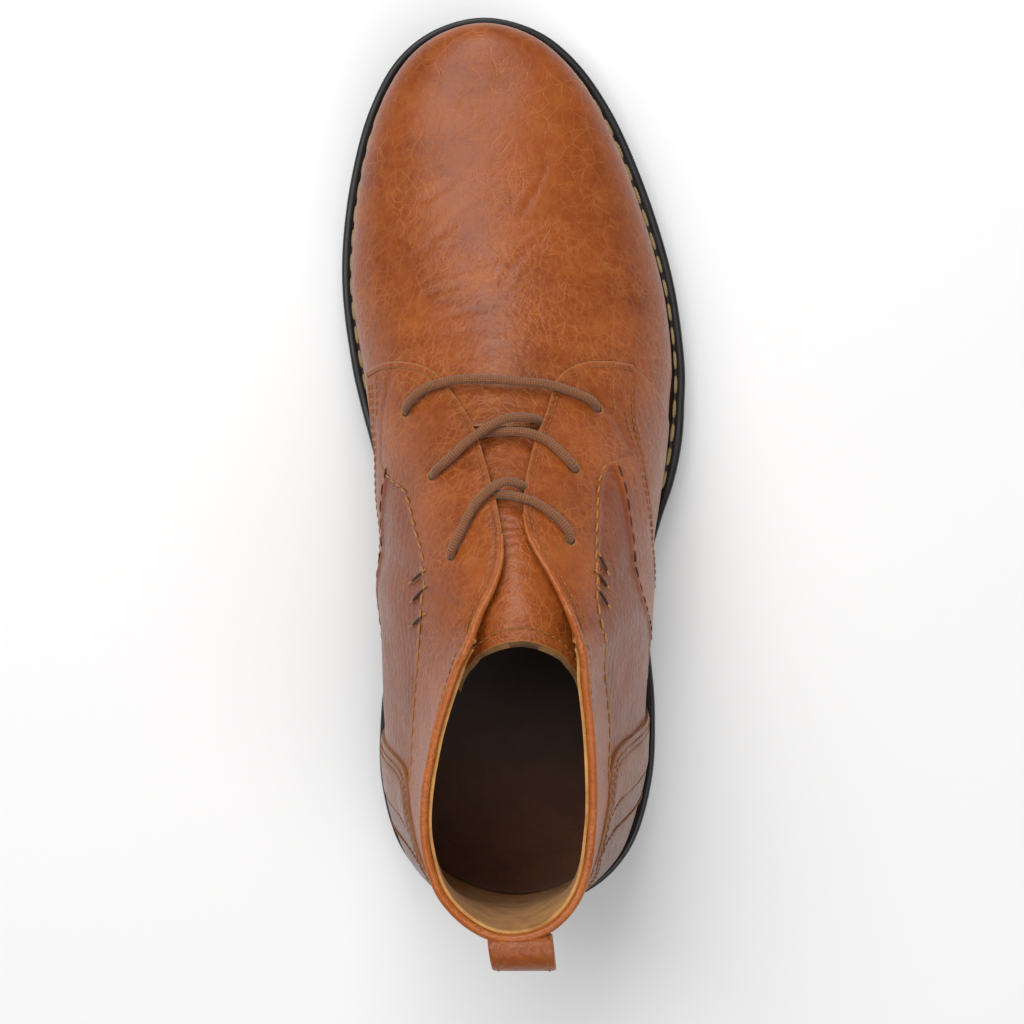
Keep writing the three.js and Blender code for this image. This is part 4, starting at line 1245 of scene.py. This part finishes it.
def make_quarter(side, name, node):
    """One quarter with its facing and eyelets. Below its lower edge it is the vamp's wing, which
    lies a step lower and runs out flush on to the vamp."""
    outline = OUTLINES[side]
    def region(points):
        return np.maximum(outline_distance(points, outline), eyelet_holes(points))
    def wing(points):
        return smooth(0.35 * MM, -0.35 * MM, over_seam("edge", side, points))
    def face(points):
        flush = smooth(16 * MM, 0, -outline_distance(points, outline))
        return QUARTER_FACE - wing(points) * (WING_STEP + (QUARTER_FACE - 1.1 * MM) * flush)
    def relief(points):
        distance = -outline_distance(points, outline)
        row = np.exp(-((distance - FACING_ROW) / (0.5 * MM)) ** 2) * (1 - wing(points))
        second = np.exp(-((over_seam("edge", side, points) - FACING_ROW) / (0.5 * MM)) ** 2)
        return quarter_relief(points, side) - 0.18 * MM * (row + second)
    span = (0, 13) if side == "outer" else (-13, 0)
    quarter = shell(name, span, (392, 128), region, face, QUARTER, relief, LEATHER,
                    lambda points: wing(points) < 0.5)
    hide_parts(node)


COUNTER_OUTLINE = np.concatenate([
    spline(side_view(COUNTER_EDGE), 90),
    [[-1.2 * CENTRE_Y, 0.1 * HEIGHT], [0.238 * LENGTH - CENTRE_Y, 0.1 * HEIGHT]],
])


def counter_distance(points):
    """Signed distance to the counter's edge in the side view."""
    return outline_distance(counter_view(points), COUNTER_OUTLINE)


def counter_view(points):
    """Side view (y, z) in which the counter's front edge lies alike on both sides: on the inner
    side of the boot it is 6.5 mm and on the outer side 1.5 mm further back."""
    back = (1.5 + 5 * smooth(5 * MM, -5 * MM, points[..., 0])) * MM
    return np.stack([points[..., 1] + back, points[..., 2]], -1)


def behind_counter_front(points):
    """Distance behind the counter's front edge, along the boot."""
    front = side_view(COUNTER_EDGE)[:6]
    return np.interp(points[..., 2], front[:, 1], front[:, 0]) - counter_view(points)[..., 0]


def make_counter():
    """Heel overlay with two rows of stitches along its edge and two seams down its sides."""
    def relief(points):
        distance = -counter_distance(points)
        rows = sum(np.exp(-((distance - place) / (0.5 * MM)) ** 2) for place in COUNTER_ROWS)
        behind = behind_counter_front(points)
        steps = sum(smooth(-0.4 * MM, 0.4 * MM, place - behind) - 0.5 for place in COUNTER_SEAMS)
        steps = steps * smooth(0, 3 * MM, distance - 3 * MM)
        return ripple(points, 41, 15 * MM) * 0.12 * MM - 0.16 * MM * rows + 0.3 * MM * steps
    counter = shell("heel_counter", (-5.6, 5.6), (380, 116), counter_distance,
                    lambda points: np.full(points.shape[:-1], COUNTER_FACE), COUNTER, relief,
                    COUNTER_LEATHER)
    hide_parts("counter")


def collar_places():
    """Ribs and heights along the collar and on down both facings, from front to front."""
    facing = {}
    for side, rows in (("outer", OUTER_QUARTER), ("inner", INNER_QUARTER)):
        places = plan(rows)[3:7]
        facing[side] = np.stack(above(places[:, 0], places[:, 1]), 1)
    q = np.linspace(-FACING_RIB, FACING_RIB, 25)
    collar = np.stack([q, np.ones(25)], 1)
    return facing["inner"][::-1], collar, facing["outer"]


def make_piping():
    """Rolled leather edge along the collar, from one facing round the back to the other, which
    thins out down the facings."""
    inner, collar, outer = collar_places()
    places = np.concatenate([inner, collar, outer])
    middle = (QUARTER_FACE + GAP) / 2 + 0.1 * MM
    points = on_form(places[:, 0], places[:, 1], np.full(len(places), middle))
    points[:, 2] += 0.4 * MM
    sides = normal(places[:, 0], places[:, 1])
    count = 620
    path, sides = spline(points, count), unit(spline(sides, count))
    share = np.minimum(np.arange(count), np.arange(count)[::-1]) / (count - 1)
    scale = 0.42 + 0.58 * smooth(0, 0.12, share)
    vertices, faces, uv = sweep(path, sides, circle(1.35 * MM, 16), scale)
    new_piece("collar_piping", vertices, faces, PIPING_LEATHER,
              {"edge": np.full(len(vertices), 5.0), "lift": np.zeros(len(vertices))}, uv, 60)


# Stitching

def facing_path(side, level):
    """The line at a distance inside a quarter's front edge, down the facing and round its
    front to the corner over its lower edge, sorted along the front edge."""
    outline = OUTLINES[side]
    edge = outline[:FRONT_POINTS]
    span = (0, 13) if side == "outer" else (-13, 0)

    def nearest(points):
        return ((points[:, None, :2] - edge[None]) ** 2).sum(-1)

    def keep(points, places):
        near = nearest(points).min(1) < (level * 1.3 + 1 * MM) ** 2
        front = over_seam("edge", side, points) > level
        return near & front & (points[:, 1] > -53 * MM) & (outline_distance(points, outline) < 0)
    return level_path(span, (900, 500), lambda points: outline_distance(points, outline), -level,
                      lambda points, places: nearest(points).argmin(1), keep)


def side_path(field, sign, low, high, level=0.0):
    """The line where a field has a value, between two places along the boot."""
    span = (0.02, 13) if sign > 0 else (-13, -0.02)
    return level_path(span, (620, 300), field, level, lambda points, places: points[:, 1],
                      lambda points, places: (points[:, 1] > low) & (points[:, 1] < high))


def make_upper_stitches():
    """Rows in the leather: facings, seams of the wedge, lower edges, counter and collar."""
    tan, pale, dark = [], [], []
    for side, sign in (("outer", 1), ("inner", -1)):
        tan.append(stitch_row(facing_path(side, FACING_ROW), QUARTER_FACE, *FACING_STITCH))
        seam = side_path(lambda p: over_seam("upper", side, p), sign, -96 * MM, -3 * MM, 1.3 * MM)
        pale.append(stitch_row(seam, QUARTER_FACE, *UPPER_SEAM_STITCH, slant=0.12 * sign))
        low = side_path(lambda p: over_seam("lower", side, p), sign, -56 * MM, -4 * MM, -1.4 * MM)
        dark.append(stitch_row(low, QUARTER_FACE, *LOWER_SEAM_STITCH))
        for level in (FACING_ROW, SECOND_ROW):
            edge = side_path(lambda p: over_seam("edge", side, p), sign, -40 * MM, 24 * MM, level)
            tan.append(stitch_row(edge, QUARTER_FACE, *EDGE_STITCH))
        bar = side_path(lambda p: over_seam("edge", side, p), sign, 15 * MM, 27 * MM, BAR_ROW)
        tan.append(stitch_row(bar, QUARTER_FACE, *BAR_STITCH))
        q = sign * np.linspace(0.05, FACING_RIB, 200)
        collar = np.stack([q, np.full(200, 0.963)], 1)
        tan.append(stitch_row(collar, QUARTER_FACE, *EDGE_STITCH))
        span = (0, 5.5) if sign > 0 else (-5.5, 0)
        for level in COUNTER_ROWS:
            row = level_path(span, (500, 400), counter_distance, -level,
                             lambda points, places: -np.abs(places[:, 0]),
                             lambda points, places: points[:, 2] > 36 * MM)
            tan.append(stitch_row(row, COUNTER_FACE, *EDGE_STITCH))
        for level in COUNTER_SEAMS:
            row = level_path(span, (500, 400), behind_counter_front, level + 1.2 * MM,
                             lambda points, places: points[:, 2],
                             lambda points, places: (points[:, 2] > 36 * MM)
                             & (counter_distance(points) < -6 * MM))
            tan.append(stitch_row(row, COUNTER_FACE, *COUNTER_STITCH))
    slits, ends = slit_bars()
    stitch_piece("tan_stitches", tan, TAN_THREAD)
    stitch_piece("pale_stitches", pale + [ends], PALE_THREAD)
    stitch_piece("dark_stitches", dark + [slits], DARK_THREAD)


# The slanting slits across the upper seams, each from one rib and height (q, v) to another
SLITS = table("q1 v1 q2 v2", [
    [7.74, 0.641, 7.34, 0.613],
    [7.43, 0.656, 7.05, 0.616],
    [7.09, 0.656, 6.62, 0.666],
    [-7.34, 0.600, -6.85, 0.547],
    [-6.92, 0.606, -6.45, 0.603],
    [-6.29, 0.688, -5.80, 0.656],
])


def slit_bars():
    """Narrow dark slits, and a short light stitch at both ends of each."""
    first = on_form(SLITS["q1"], SLITS["v1"], QUARTER_FACE - 0.05 * MM)
    second = on_form(SLITS["q2"], SLITS["v2"], QUARTER_FACE - 0.05 * MM)
    side = normal((SLITS["q1"] + SLITS["q2"]) / 2, (SLITS["v1"] + SLITS["v2"]) / 2)
    along = unit(second - first)
    across = unit(np.cross(along, side))
    length = np.linalg.norm(second - first, axis=1).mean()
    middle = (first + second) / 2 + side * 0.15 * MM
    dark = bars(middle, along, across, side, length, 0.42 * MM, 0.3)
    ends = np.concatenate([first - along * 0.6 * MM, second + along * 0.6 * MM])
    ends = ends + np.tile(side, (2, 1)) * 0.25 * MM
    light = bars(ends, np.tile(along, (2, 1)), np.tile(across, (2, 1)), np.tile(side, (2, 1)),
                 1.9 * MM, 0.36 * MM, 0.3)
    return dark, light


def make_welt_stitches():
    """Thick cream stitches along the welt, 8 mm apart, round the forefoot to the waist."""
    q = np.concatenate([np.linspace(5.2, LAST_RIB, 700), np.linspace(-LAST_RIB, -6.5, 640)[1:]])
    foot = inset_point(q, WELT_ROW * rim_share(q) * RIM)
    path = np.concatenate([foot, (welt_top(foot[:, 1]) + 0.05 * MM)[:, None]], 1)
    up = np.tile([0.0, 0.0, 1.0], (len(path), 1))
    stitch_piece("welt_stitches", [stitches_on(path, up, *WELT_STITCH)], WELT_THREAD)


# Lace: points in millimetres of the plan, from the middle of the sole's outline, with the
# height over the form. It comes out of the inner back eyelet and ends in the outer one.
LACE_ROUTE = np.array([
    [-16.9, -29.0, -5.0], [-17.4, -29.6, -2.0], [-17.6, -29.4, 1.0], [-16.2, -28.4, 3.4],
    [-13.7, -23.9, 4.1], [-10.7, -17.4, 4.3], [-7.1, -12.9, 4.4], [-2.6, -9.6, 4.3],
    [1.4, -9.4, 2.6], [4.0, -9.2, -0.6], [6.8, -8.6, -2.9], [11.5, -7.4, -3.6],
    [16.2, -4.6, -3.2], [17.6, -3.8, -0.8], [17.6, -3.6, 1.4], [16.4, -3.4, 3.2],
    [13.4, -0.6, 3.6], [9.1, 3.5, 3.6], [3.7, 5.8, 3.4], [-2.8, 7.0, 2.2], [-7.6, 7.6, 0.8],
    [-11.2, 8.4, -1.8], [-15.5, 9.6, -3.4], [-23.0, 12.0, -3.6],
    [-30.8, 13.6, -3.0], [-32.4, 14.2, -0.8], [-32.4, 15.2, 1.6], [-29.8, 17.0, 3.6],
    [-25.3, 20.3, 4.2], [-17.6, 22.6, 4.0], [-9.2, 22.9, 3.6], [-0.7, 22.3, 3.5], [9.3, 21.1, 3.9],
    [16.9, 18.6, 4.2], [21.8, 16.6, 3.8], [24.4, 15.6, 1.9], [25.2, 15.0, -0.8],
    [23.6, 13.4, -3.0], [18.0, 13.0, -3.6], [11.6, 12.4, -3.0], [8.6, 11.8, -0.8],
    [5.2, 10.9, 2.6], [-0.6, 9.7, 4.6], [-5.3, 7.6, 5.2], [-11.5, 3.6, 4.6], [-16.6, -1.2, 4.3],
    [-20.8, -4.4, 3.6], [-23.2, -5.4, 1.6], [-23.6, -5.8, -0.8], [-22.2, -6.6, -3.2],
    [-14.6, -9.0, -3.6], [-8.8, -9.6, -2.6], [-6.4, -10.6, -0.6], [-4.2, -11.8, 1.6],
    [0.7, -13.3, 3.1], [5.5, -15.2, 3.5], [10.6, -19.0, 3.8], [14.0, -22.6, 3.3],
    [15.7, -24.6, 1.4], [15.9, -25.0, -1.4], [15.2, -25.2, -5.0],
])


def make_lace():
    """One round braided cord threaded through the six eyelets, its two ends inside."""
    places = LACE_ROUTE * MM
    q, v = above(places[:, 0], places[:, 1])
    points = on_form(q, v, places[:, 2])
    count = 1300
    path = spline(points, count)
    sides = unit(spline(normal(q, v), count))
    along = unit(np.gradient(path, axis=0))
    tilt = np.abs((along * sides).sum(-1, keepdims=True))
    sides = unit(sides + tilt * np.array([0.0, 0.35, 0.0]))
    ends = np.minimum(np.arange(count), np.arange(count)[::-1]) / 5
    scale = np.sqrt(np.clip(1 - (1 - np.clip(ends, 0, 1)) ** 2, 0.02, 1))
    vertices, faces, uv = sweep(path, sides, circle(LACE / 2 - 0.12 * MM, 14), scale)
    lace = new_piece("lace", vertices, faces, LACE_CORD, uv=uv, sharp=70)
    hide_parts("lace_bar", "lace_crossing_front", "lace_crossing_back")


# Pull loop

def make_pull_loop():
    """A strap along a curve in the lengthwise plane: out of the seam below the collar's edge,
    back in a bow and down to the counter. Its section is a flat rectangle with round edges."""
    low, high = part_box("pull_loop")
    half = 1.0 * MM
    back = low.y + half
    foot = low.z
    edge = top_point(np.array(0.0))
    rise = edge[2] + 0.6 * MM
    wall = edge[1] - QUARTER_FACE
    route = np.array([
        [wall + 1.4 * MM, rise - 6.0 * MM], [wall + 0.9 * MM, rise - 2.2 * MM],
        [wall - 1.4 * MM, rise + 0.4 * MM], [back + 3.4 * MM, rise - 0.6 * MM],
        [back + 0.5 * MM, rise - 4.4 * MM], [back, rise - 10.5 * MM],
        [back + 0.9 * MM, rise - 20 * MM], [back + 2.9 * MM, foot + 9.0 * MM],
        [back + 2.7 * MM, foot + 1.0 * MM],
    ])
    count = 150
    line = spline(route, count)
    middle = LOOP_MIDDLE + LOOP_LEAN * np.clip((edge[1] - line[:, 0]) / (edge[1] - back), 0, 1)
    path = np.stack([middle, line[:, 0], line[:, 1]], 1)
    along = unit(np.gradient(path, axis=0))
    sides = unit(np.stack([np.zeros(count), along[:, 2], -along[:, 1]], 1))
    width = (high.x - low.x) / 2 + 0.2 * MM
    t = np.linspace(0, 2 * math.pi, 48, endpoint=False)
    section = np.stack([np.sign(np.cos(t)) * np.abs(np.cos(t)) ** 0.16 * width,
                        np.sign(np.sin(t)) * np.abs(np.sin(t)) ** 0.5 * half], 1)
    vertices, faces, uv = sweep(path, sides, section)
    near = np.abs(vertices[:, 0] - np.interp(np.arange(len(vertices)) / 48, np.arange(count), middle))
    loop = new_piece("pull_loop_strap", vertices, faces, LEATHER,
                     {"edge": (width - near) / MM + 0.3, "lift": np.zeros(len(vertices))}, uv)
    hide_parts("pull_loop")
    rows = []
    for sign in (1, -1):
        row = path[4:-4] + np.array([sign * (width - LOOP_ROW), 0, 0])
        ahead = unit(np.gradient(row, axis=0))
        out = unit(np.stack([np.zeros(len(row)), -ahead[:, 2], ahead[:, 1]], 1))
        for face in (1, -1):
            rows.append(stitches_on(row + out * face * half, out * face, *LOOP_STITCH))
    stitch_piece("pull_loop_stitches", rows, TAN_THREAD)


# Sole

def ring_piece(name, profile, steps, material):
    """A closed strip round the boot: profile(q) gives the corners of its section as two arrays,
    inset and height, of shape (steps, corners)."""
    q = np.linspace(-LAST_RIB, LAST_RIB, steps, endpoint=False)
    inset, height = profile(q)
    place = inset_point(np.repeat(q[:, None], inset.shape[1], 1), inset)
    points = np.concatenate([place, height[..., None]], -1)
    count = inset.shape[1]
    faces = grid_faces(steps + 1, count, wrap=True) % (steps * count)
    return new_piece(name, points.reshape(-1, 3), faces[:, ::-1], material, sharp=50)


def make_welt():
    """Welt: a half round outer edge, a flat top with a groove for the stitches, and a low bead
    that leans on the upper. A row of corners on the section has an inset and a height each."""
    def profile(q):
        rim = rim_share(q) * RIM
        stand = np.maximum(1.1 * MM, rim - QUARTER_FACE - GAP - 1.1 * MM)
        angle = np.linspace(-0.5, 0.5, 9) * math.pi
        bulge = WELT / 2 * (1 - np.cos(angle))
        outer = [np.broadcast_to(b * 0.6, q.shape) for b in bulge]
        up = [np.broadcast_to(WELT / 2 * (np.sin(a) - 1), q.shape) for a in angle]
        groove = [WELT_ROW * rim + d * MM for d in (-1.2, -0.6, 0.6, 1.2)]
        sunk = [np.full(q.shape, d * MM) for d in (0.0, -0.45, -0.45, 0.0)]
        bead = [stand, stand + 0.35 * MM, stand + 0.9 * MM, rim + 8 * MM, rim + 8 * MM]
        high = [np.full(q.shape, d) for d in (0.0, 0.55 * MM, 0.25 * MM, 0.0, -WELT)]
        inset = np.stack([*outer, *groove, *bead], 1)
        place = inset_point(np.repeat(q[:, None], inset.shape[1], 1), inset)
        return inset, welt_top(place[..., 1]) + np.stack([*up, *sunk, *high], 1)
    welt = ring_piece("welt_strip", profile, 720, WELT_RUBBER)
    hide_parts("welt")


def tread_groove(x, y):
    """Depth of the chevron grooves: 3 mm in bands 4.5 mm wide that sweep back from the middle
    line, and none near the edge or under the waist."""
    first, last, count = ARCH_END + 0.06, 0.93, 7
    pitch = (last - first) * LENGTH / (count - 1)
    sweep_back = 9 * MM * np.abs(x + CENTRE_X) / (WIDTH / 2)
    along = y + CENTRE_Y + sweep_back - first * LENGTH
    k = np.clip(np.round(along / pitch), 0, count - 1)
    near = np.abs(along - k * pitch - 2.25 * MM)
    return 3 * MM * (1 - smooth(1.9 * MM, 2.6 * MM, near))


def rungs(q, inset, across):
    """Plan points on straight rungs between the same rib of both sides, inside the outline."""
    s = np.linspace(0, 1, across)[None, :, None]
    return inset_point(-q, inset)[:, None] * (1 - s) + inset_point(q, inset)[:, None] * s


def plate_piece(name, to_rib, counts, low, rim, high, lean, bevel):
    """A rubber plate inside the sole outline, over the rungs from the heel to a rib. low(x, y)
    and high(y) give the heights of its two faces, and rim(y) that of its lower edge. Its
    section goes round the lower edge, the side, which leans in below, and the upper edge, with
    a bevel at both."""
    steps, across = counts
    q = np.linspace(0.0, to_rib, steps)
    bottom = rungs(q, lean + bevel, across)
    bottom = np.concatenate([bottom, low(bottom[..., 0], bottom[..., 1])[..., None]], -1)
    top = rungs(q, bevel, across)
    top = np.concatenate([top, high(top[..., 1])[..., None]], -1)

    def side(sign):
        rows = []
        for inset, level, share in ((lean + bevel * 0.3, "low", 0.3), (lean, "low", 1.0),
                                    (lean * 0.5, "middle", 0), (0, "high", 1.0),
                                    (bevel * 0.3, "high", 0.3)):
            place = inset_point(sign * q, inset)
            under, over = rim(place[:, 1]), high(place[:, 1])
            z = {"low": under + bevel * share, "middle": (under + over) / 2,
                 "high": over - bevel * share}[level]
            rows.append(np.concatenate([place, z[:, None]], 1))
        return np.stack(rows, 1)
    section = np.concatenate([bottom, side(1), top[:, ::-1], side(-1)[:, ::-1]], 1)
    count = section.shape[1]
    faces = [tuple(face) for face in grid_faces(steps, count, wrap=True)[:, ::-1].tolist()]
    faces.append(tuple(range((steps - 1) * count, steps * count)))
    piece = new_piece(name, section.reshape(-1, 3), faces, SOLE_RUBBER, sharp=42)
    close_up(piece)
    return piece


def close_up(piece):
    """Merges the doubled points where the rungs shrink to a point, and turns faces outwards."""
    work = bmesh.new()
    work.from_mesh(piece.data)
    bmesh.ops.remove_doubles(work, verts=work.verts, dist=2e-6)
    bmesh.ops.dissolve_degenerate(work, edges=work.edges, dist=1e-6)
    bmesh.ops.holes_fill(work, edges=[e for e in work.edges if e.is_boundary])
    bmesh.ops.recalc_face_normals(work, faces=work.faces)
    work.to_mesh(piece.data)
    work.free()


# The outline's two sides, as places across for places along the boot
SIDE_Q = np.linspace(0, LAST_RIB, 200)
SIDE_Y = edge_point(SIDE_Q)[:, 1]
SIDE_X = [edge_point(SIDE_Q)[:, 0], edge_point(-SIDE_Q)[:, 0]]


def make_outsole():
    """Outsole with its chevron tread, which ends 8 to 9 mm inside the outline."""
    def tread(x, y):
        edge = np.min(np.stack([np.abs(x - np.interp(y, SIDE_Y, side)) for side in SIDE_X]), 0)
        inner = smooth(7.6 * MM, 9.4 * MM, edge)
        toe = smooth(0.97, 0.95, (y + CENTRE_Y) / LENGTH)
        return tread_line(y) + tread_groove(x, y) * inner * toe
    outsole = plate_piece("outsole_plate", LAST_RIB, (460, 72), tread, tread_line, seat_line,
                          0.0, 0.7 * MM)
    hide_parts("outsole")


def make_heel():
    """Heel block with three grooves across it, 2.4 mm deep and 4.5 mm wide."""
    ribs = np.linspace(0, ANKLE_RIB, 400)
    breast = np.interp(HEEL_BREAST, edge_along(ribs), ribs)

    def grooves(x, y):
        share = (y + CENTRE_Y) / (HEEL_BREAST * LENGTH)
        near = np.min(np.stack([np.abs(share - k / 4) for k in (1, 2, 3)]), 0) * HEEL_BREAST * LENGTH
        return 2.4 * MM * (1 - smooth(1.9 * MM, 2.6 * MM, near))
    heel = plate_piece("heel_block", breast, (230, 40), grooves, np.zeros_like,
                       lambda y: np.full(np.shape(y), HEEL_HEIGHT - GAP), 1.6 * MM, 0.6 * MM)
    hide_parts("heel")


def make_insole():
    """Insole: a board 3.5 mm thick that fills the upper's foot, dished by 0.7 mm where the foot
    has worn it."""
    steps, across = 260, 44
    q = np.linspace(0.0, LAST_RIB, steps)
    place = rungs(q, rim_share(q) * RIM + 1.15 * MM, across)
    base = welt_top(place[..., 1]) + GAP
    dish = 0.7 * MM * (1 - (2 * np.linspace(0, 1, across)[None] - 1) ** 2)
    top = np.concatenate([place, (base + 3.5 * MM - dish)[..., None]], -1)
    bottom = np.concatenate([place, base[..., None]], -1)
    section = np.concatenate([bottom, top[:, ::-1]], 1)
    faces = grid_faces(steps, 2 * across, wrap=True)[:, ::-1]
    insole = new_piece("insole_board", section.reshape(-1, 3), faces, INSOLE_LEATHER)
    close_up(insole)
    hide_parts("insole")


# Camera, light and floor. The camera's height is typical, its axis and scale are the photograph's
PHOTO_SIZE = 1024
CAMERA_HEIGHT = 0.8
PIXELS_PER_METRE = 2962
PHOTO_AXIS = (-1.33 * MM - CENTRE_X, 129.9 * MM - CENTRE_Y)
FLOOR = 6.0
SURROUND_STRENGTH = 0.16


def make_camera():
    """Straight above the boot, toe up: the lens shows as many pixels to the metre on the floor
    as the photograph does."""
    data = bpy.data.cameras.new("camera")
    data.sensor_width = 36
    data.lens = PIXELS_PER_METRE * CAMERA_HEIGHT / PHOTO_SIZE * data.sensor_width
    camera = bpy.data.objects.new("camera", data)
    camera.location = (*PHOTO_AXIS, CAMERA_HEIGHT)
    bpy.context.scene.collection.objects.link(camera)
    bpy.context.scene.camera = camera


def make_light(name, place, target, size, power):
    """A square soft box that faces a target."""
    data = bpy.data.lights.new(name, "AREA")
    data.size = size
    data.energy = power
    lamp = bpy.data.objects.new(name, data)
    lamp.location = place
    direction = np.array(target) - np.array(place)
    lamp.rotation_euler = Vector(direction).to_track_quat("-Z", "Y").to_euler()
    bpy.context.scene.collection.objects.link(lamp)


def make_studio():
    """White paper floor, a dim even surround, soft boxes over the toe, before it and behind the
    heel, and a weak one low at each side."""
    mesh = bpy.data.meshes.new("floor")
    corners = [(-FLOOR, -FLOOR, 0), (FLOOR, -FLOOR, 0), (FLOOR, FLOOR, 0), (-FLOOR, FLOOR, 0)]
    mesh.from_pydata(corners, [], [(0, 1, 2, 3)])
    mesh.materials.append(material("white_paper_floor", lambda tree: {}, Base_Color="#fbfbfb",
                                   Roughness=0.9))
    floor = bpy.data.objects.new("floor", mesh)
    bpy.context.scene.collection.objects.link(floor)
    world = bpy.data.worlds.new("surround")
    world.use_nodes = True
    surround = world.node_tree.nodes["Background"]
    surround.inputs[0].default_value = linear("#ffffff")
    surround.inputs[1].default_value = SURROUND_STRENGTH
    bpy.context.scene.world = world
    bpy.context.scene.view_settings.view_transform = "Standard"
    make_light("toe_box", (-0.38, 0.36, 1.1), (0, 0.02, 0.05), 0.8, 7.8)
    make_light("front_box", (-0.05, 0.95, 0.88), (0, -0.1, 0.08), 0.5, 5)
    make_light("heel_box", (0.3, -0.5, 1.15), (0, -0.05, 0.05), 0.8, 5.4)
    make_light("left_box", (-0.9, -0.1, 0.30), (0, 0, 0.06), 0.5, 0.3)
    make_light("right_box", (0.9, -0.1, 0.30), (0, 0, 0.06), 0.5, 0.3)


make_camera()
make_studio()
make_vamp()
make_tongue()
make_lining()
make_quarter("outer", "outer_quarter", "quarter_outer")
make_quarter("inner", "inner_quarter", "quarter_inner")
make_counter()
make_piping()
make_upper_stitches()
make_lace()
make_pull_loop()
make_welt()
make_welt_stitches()
make_outsole()
make_heel()
make_insole()

bpy.context.view_layer.update()
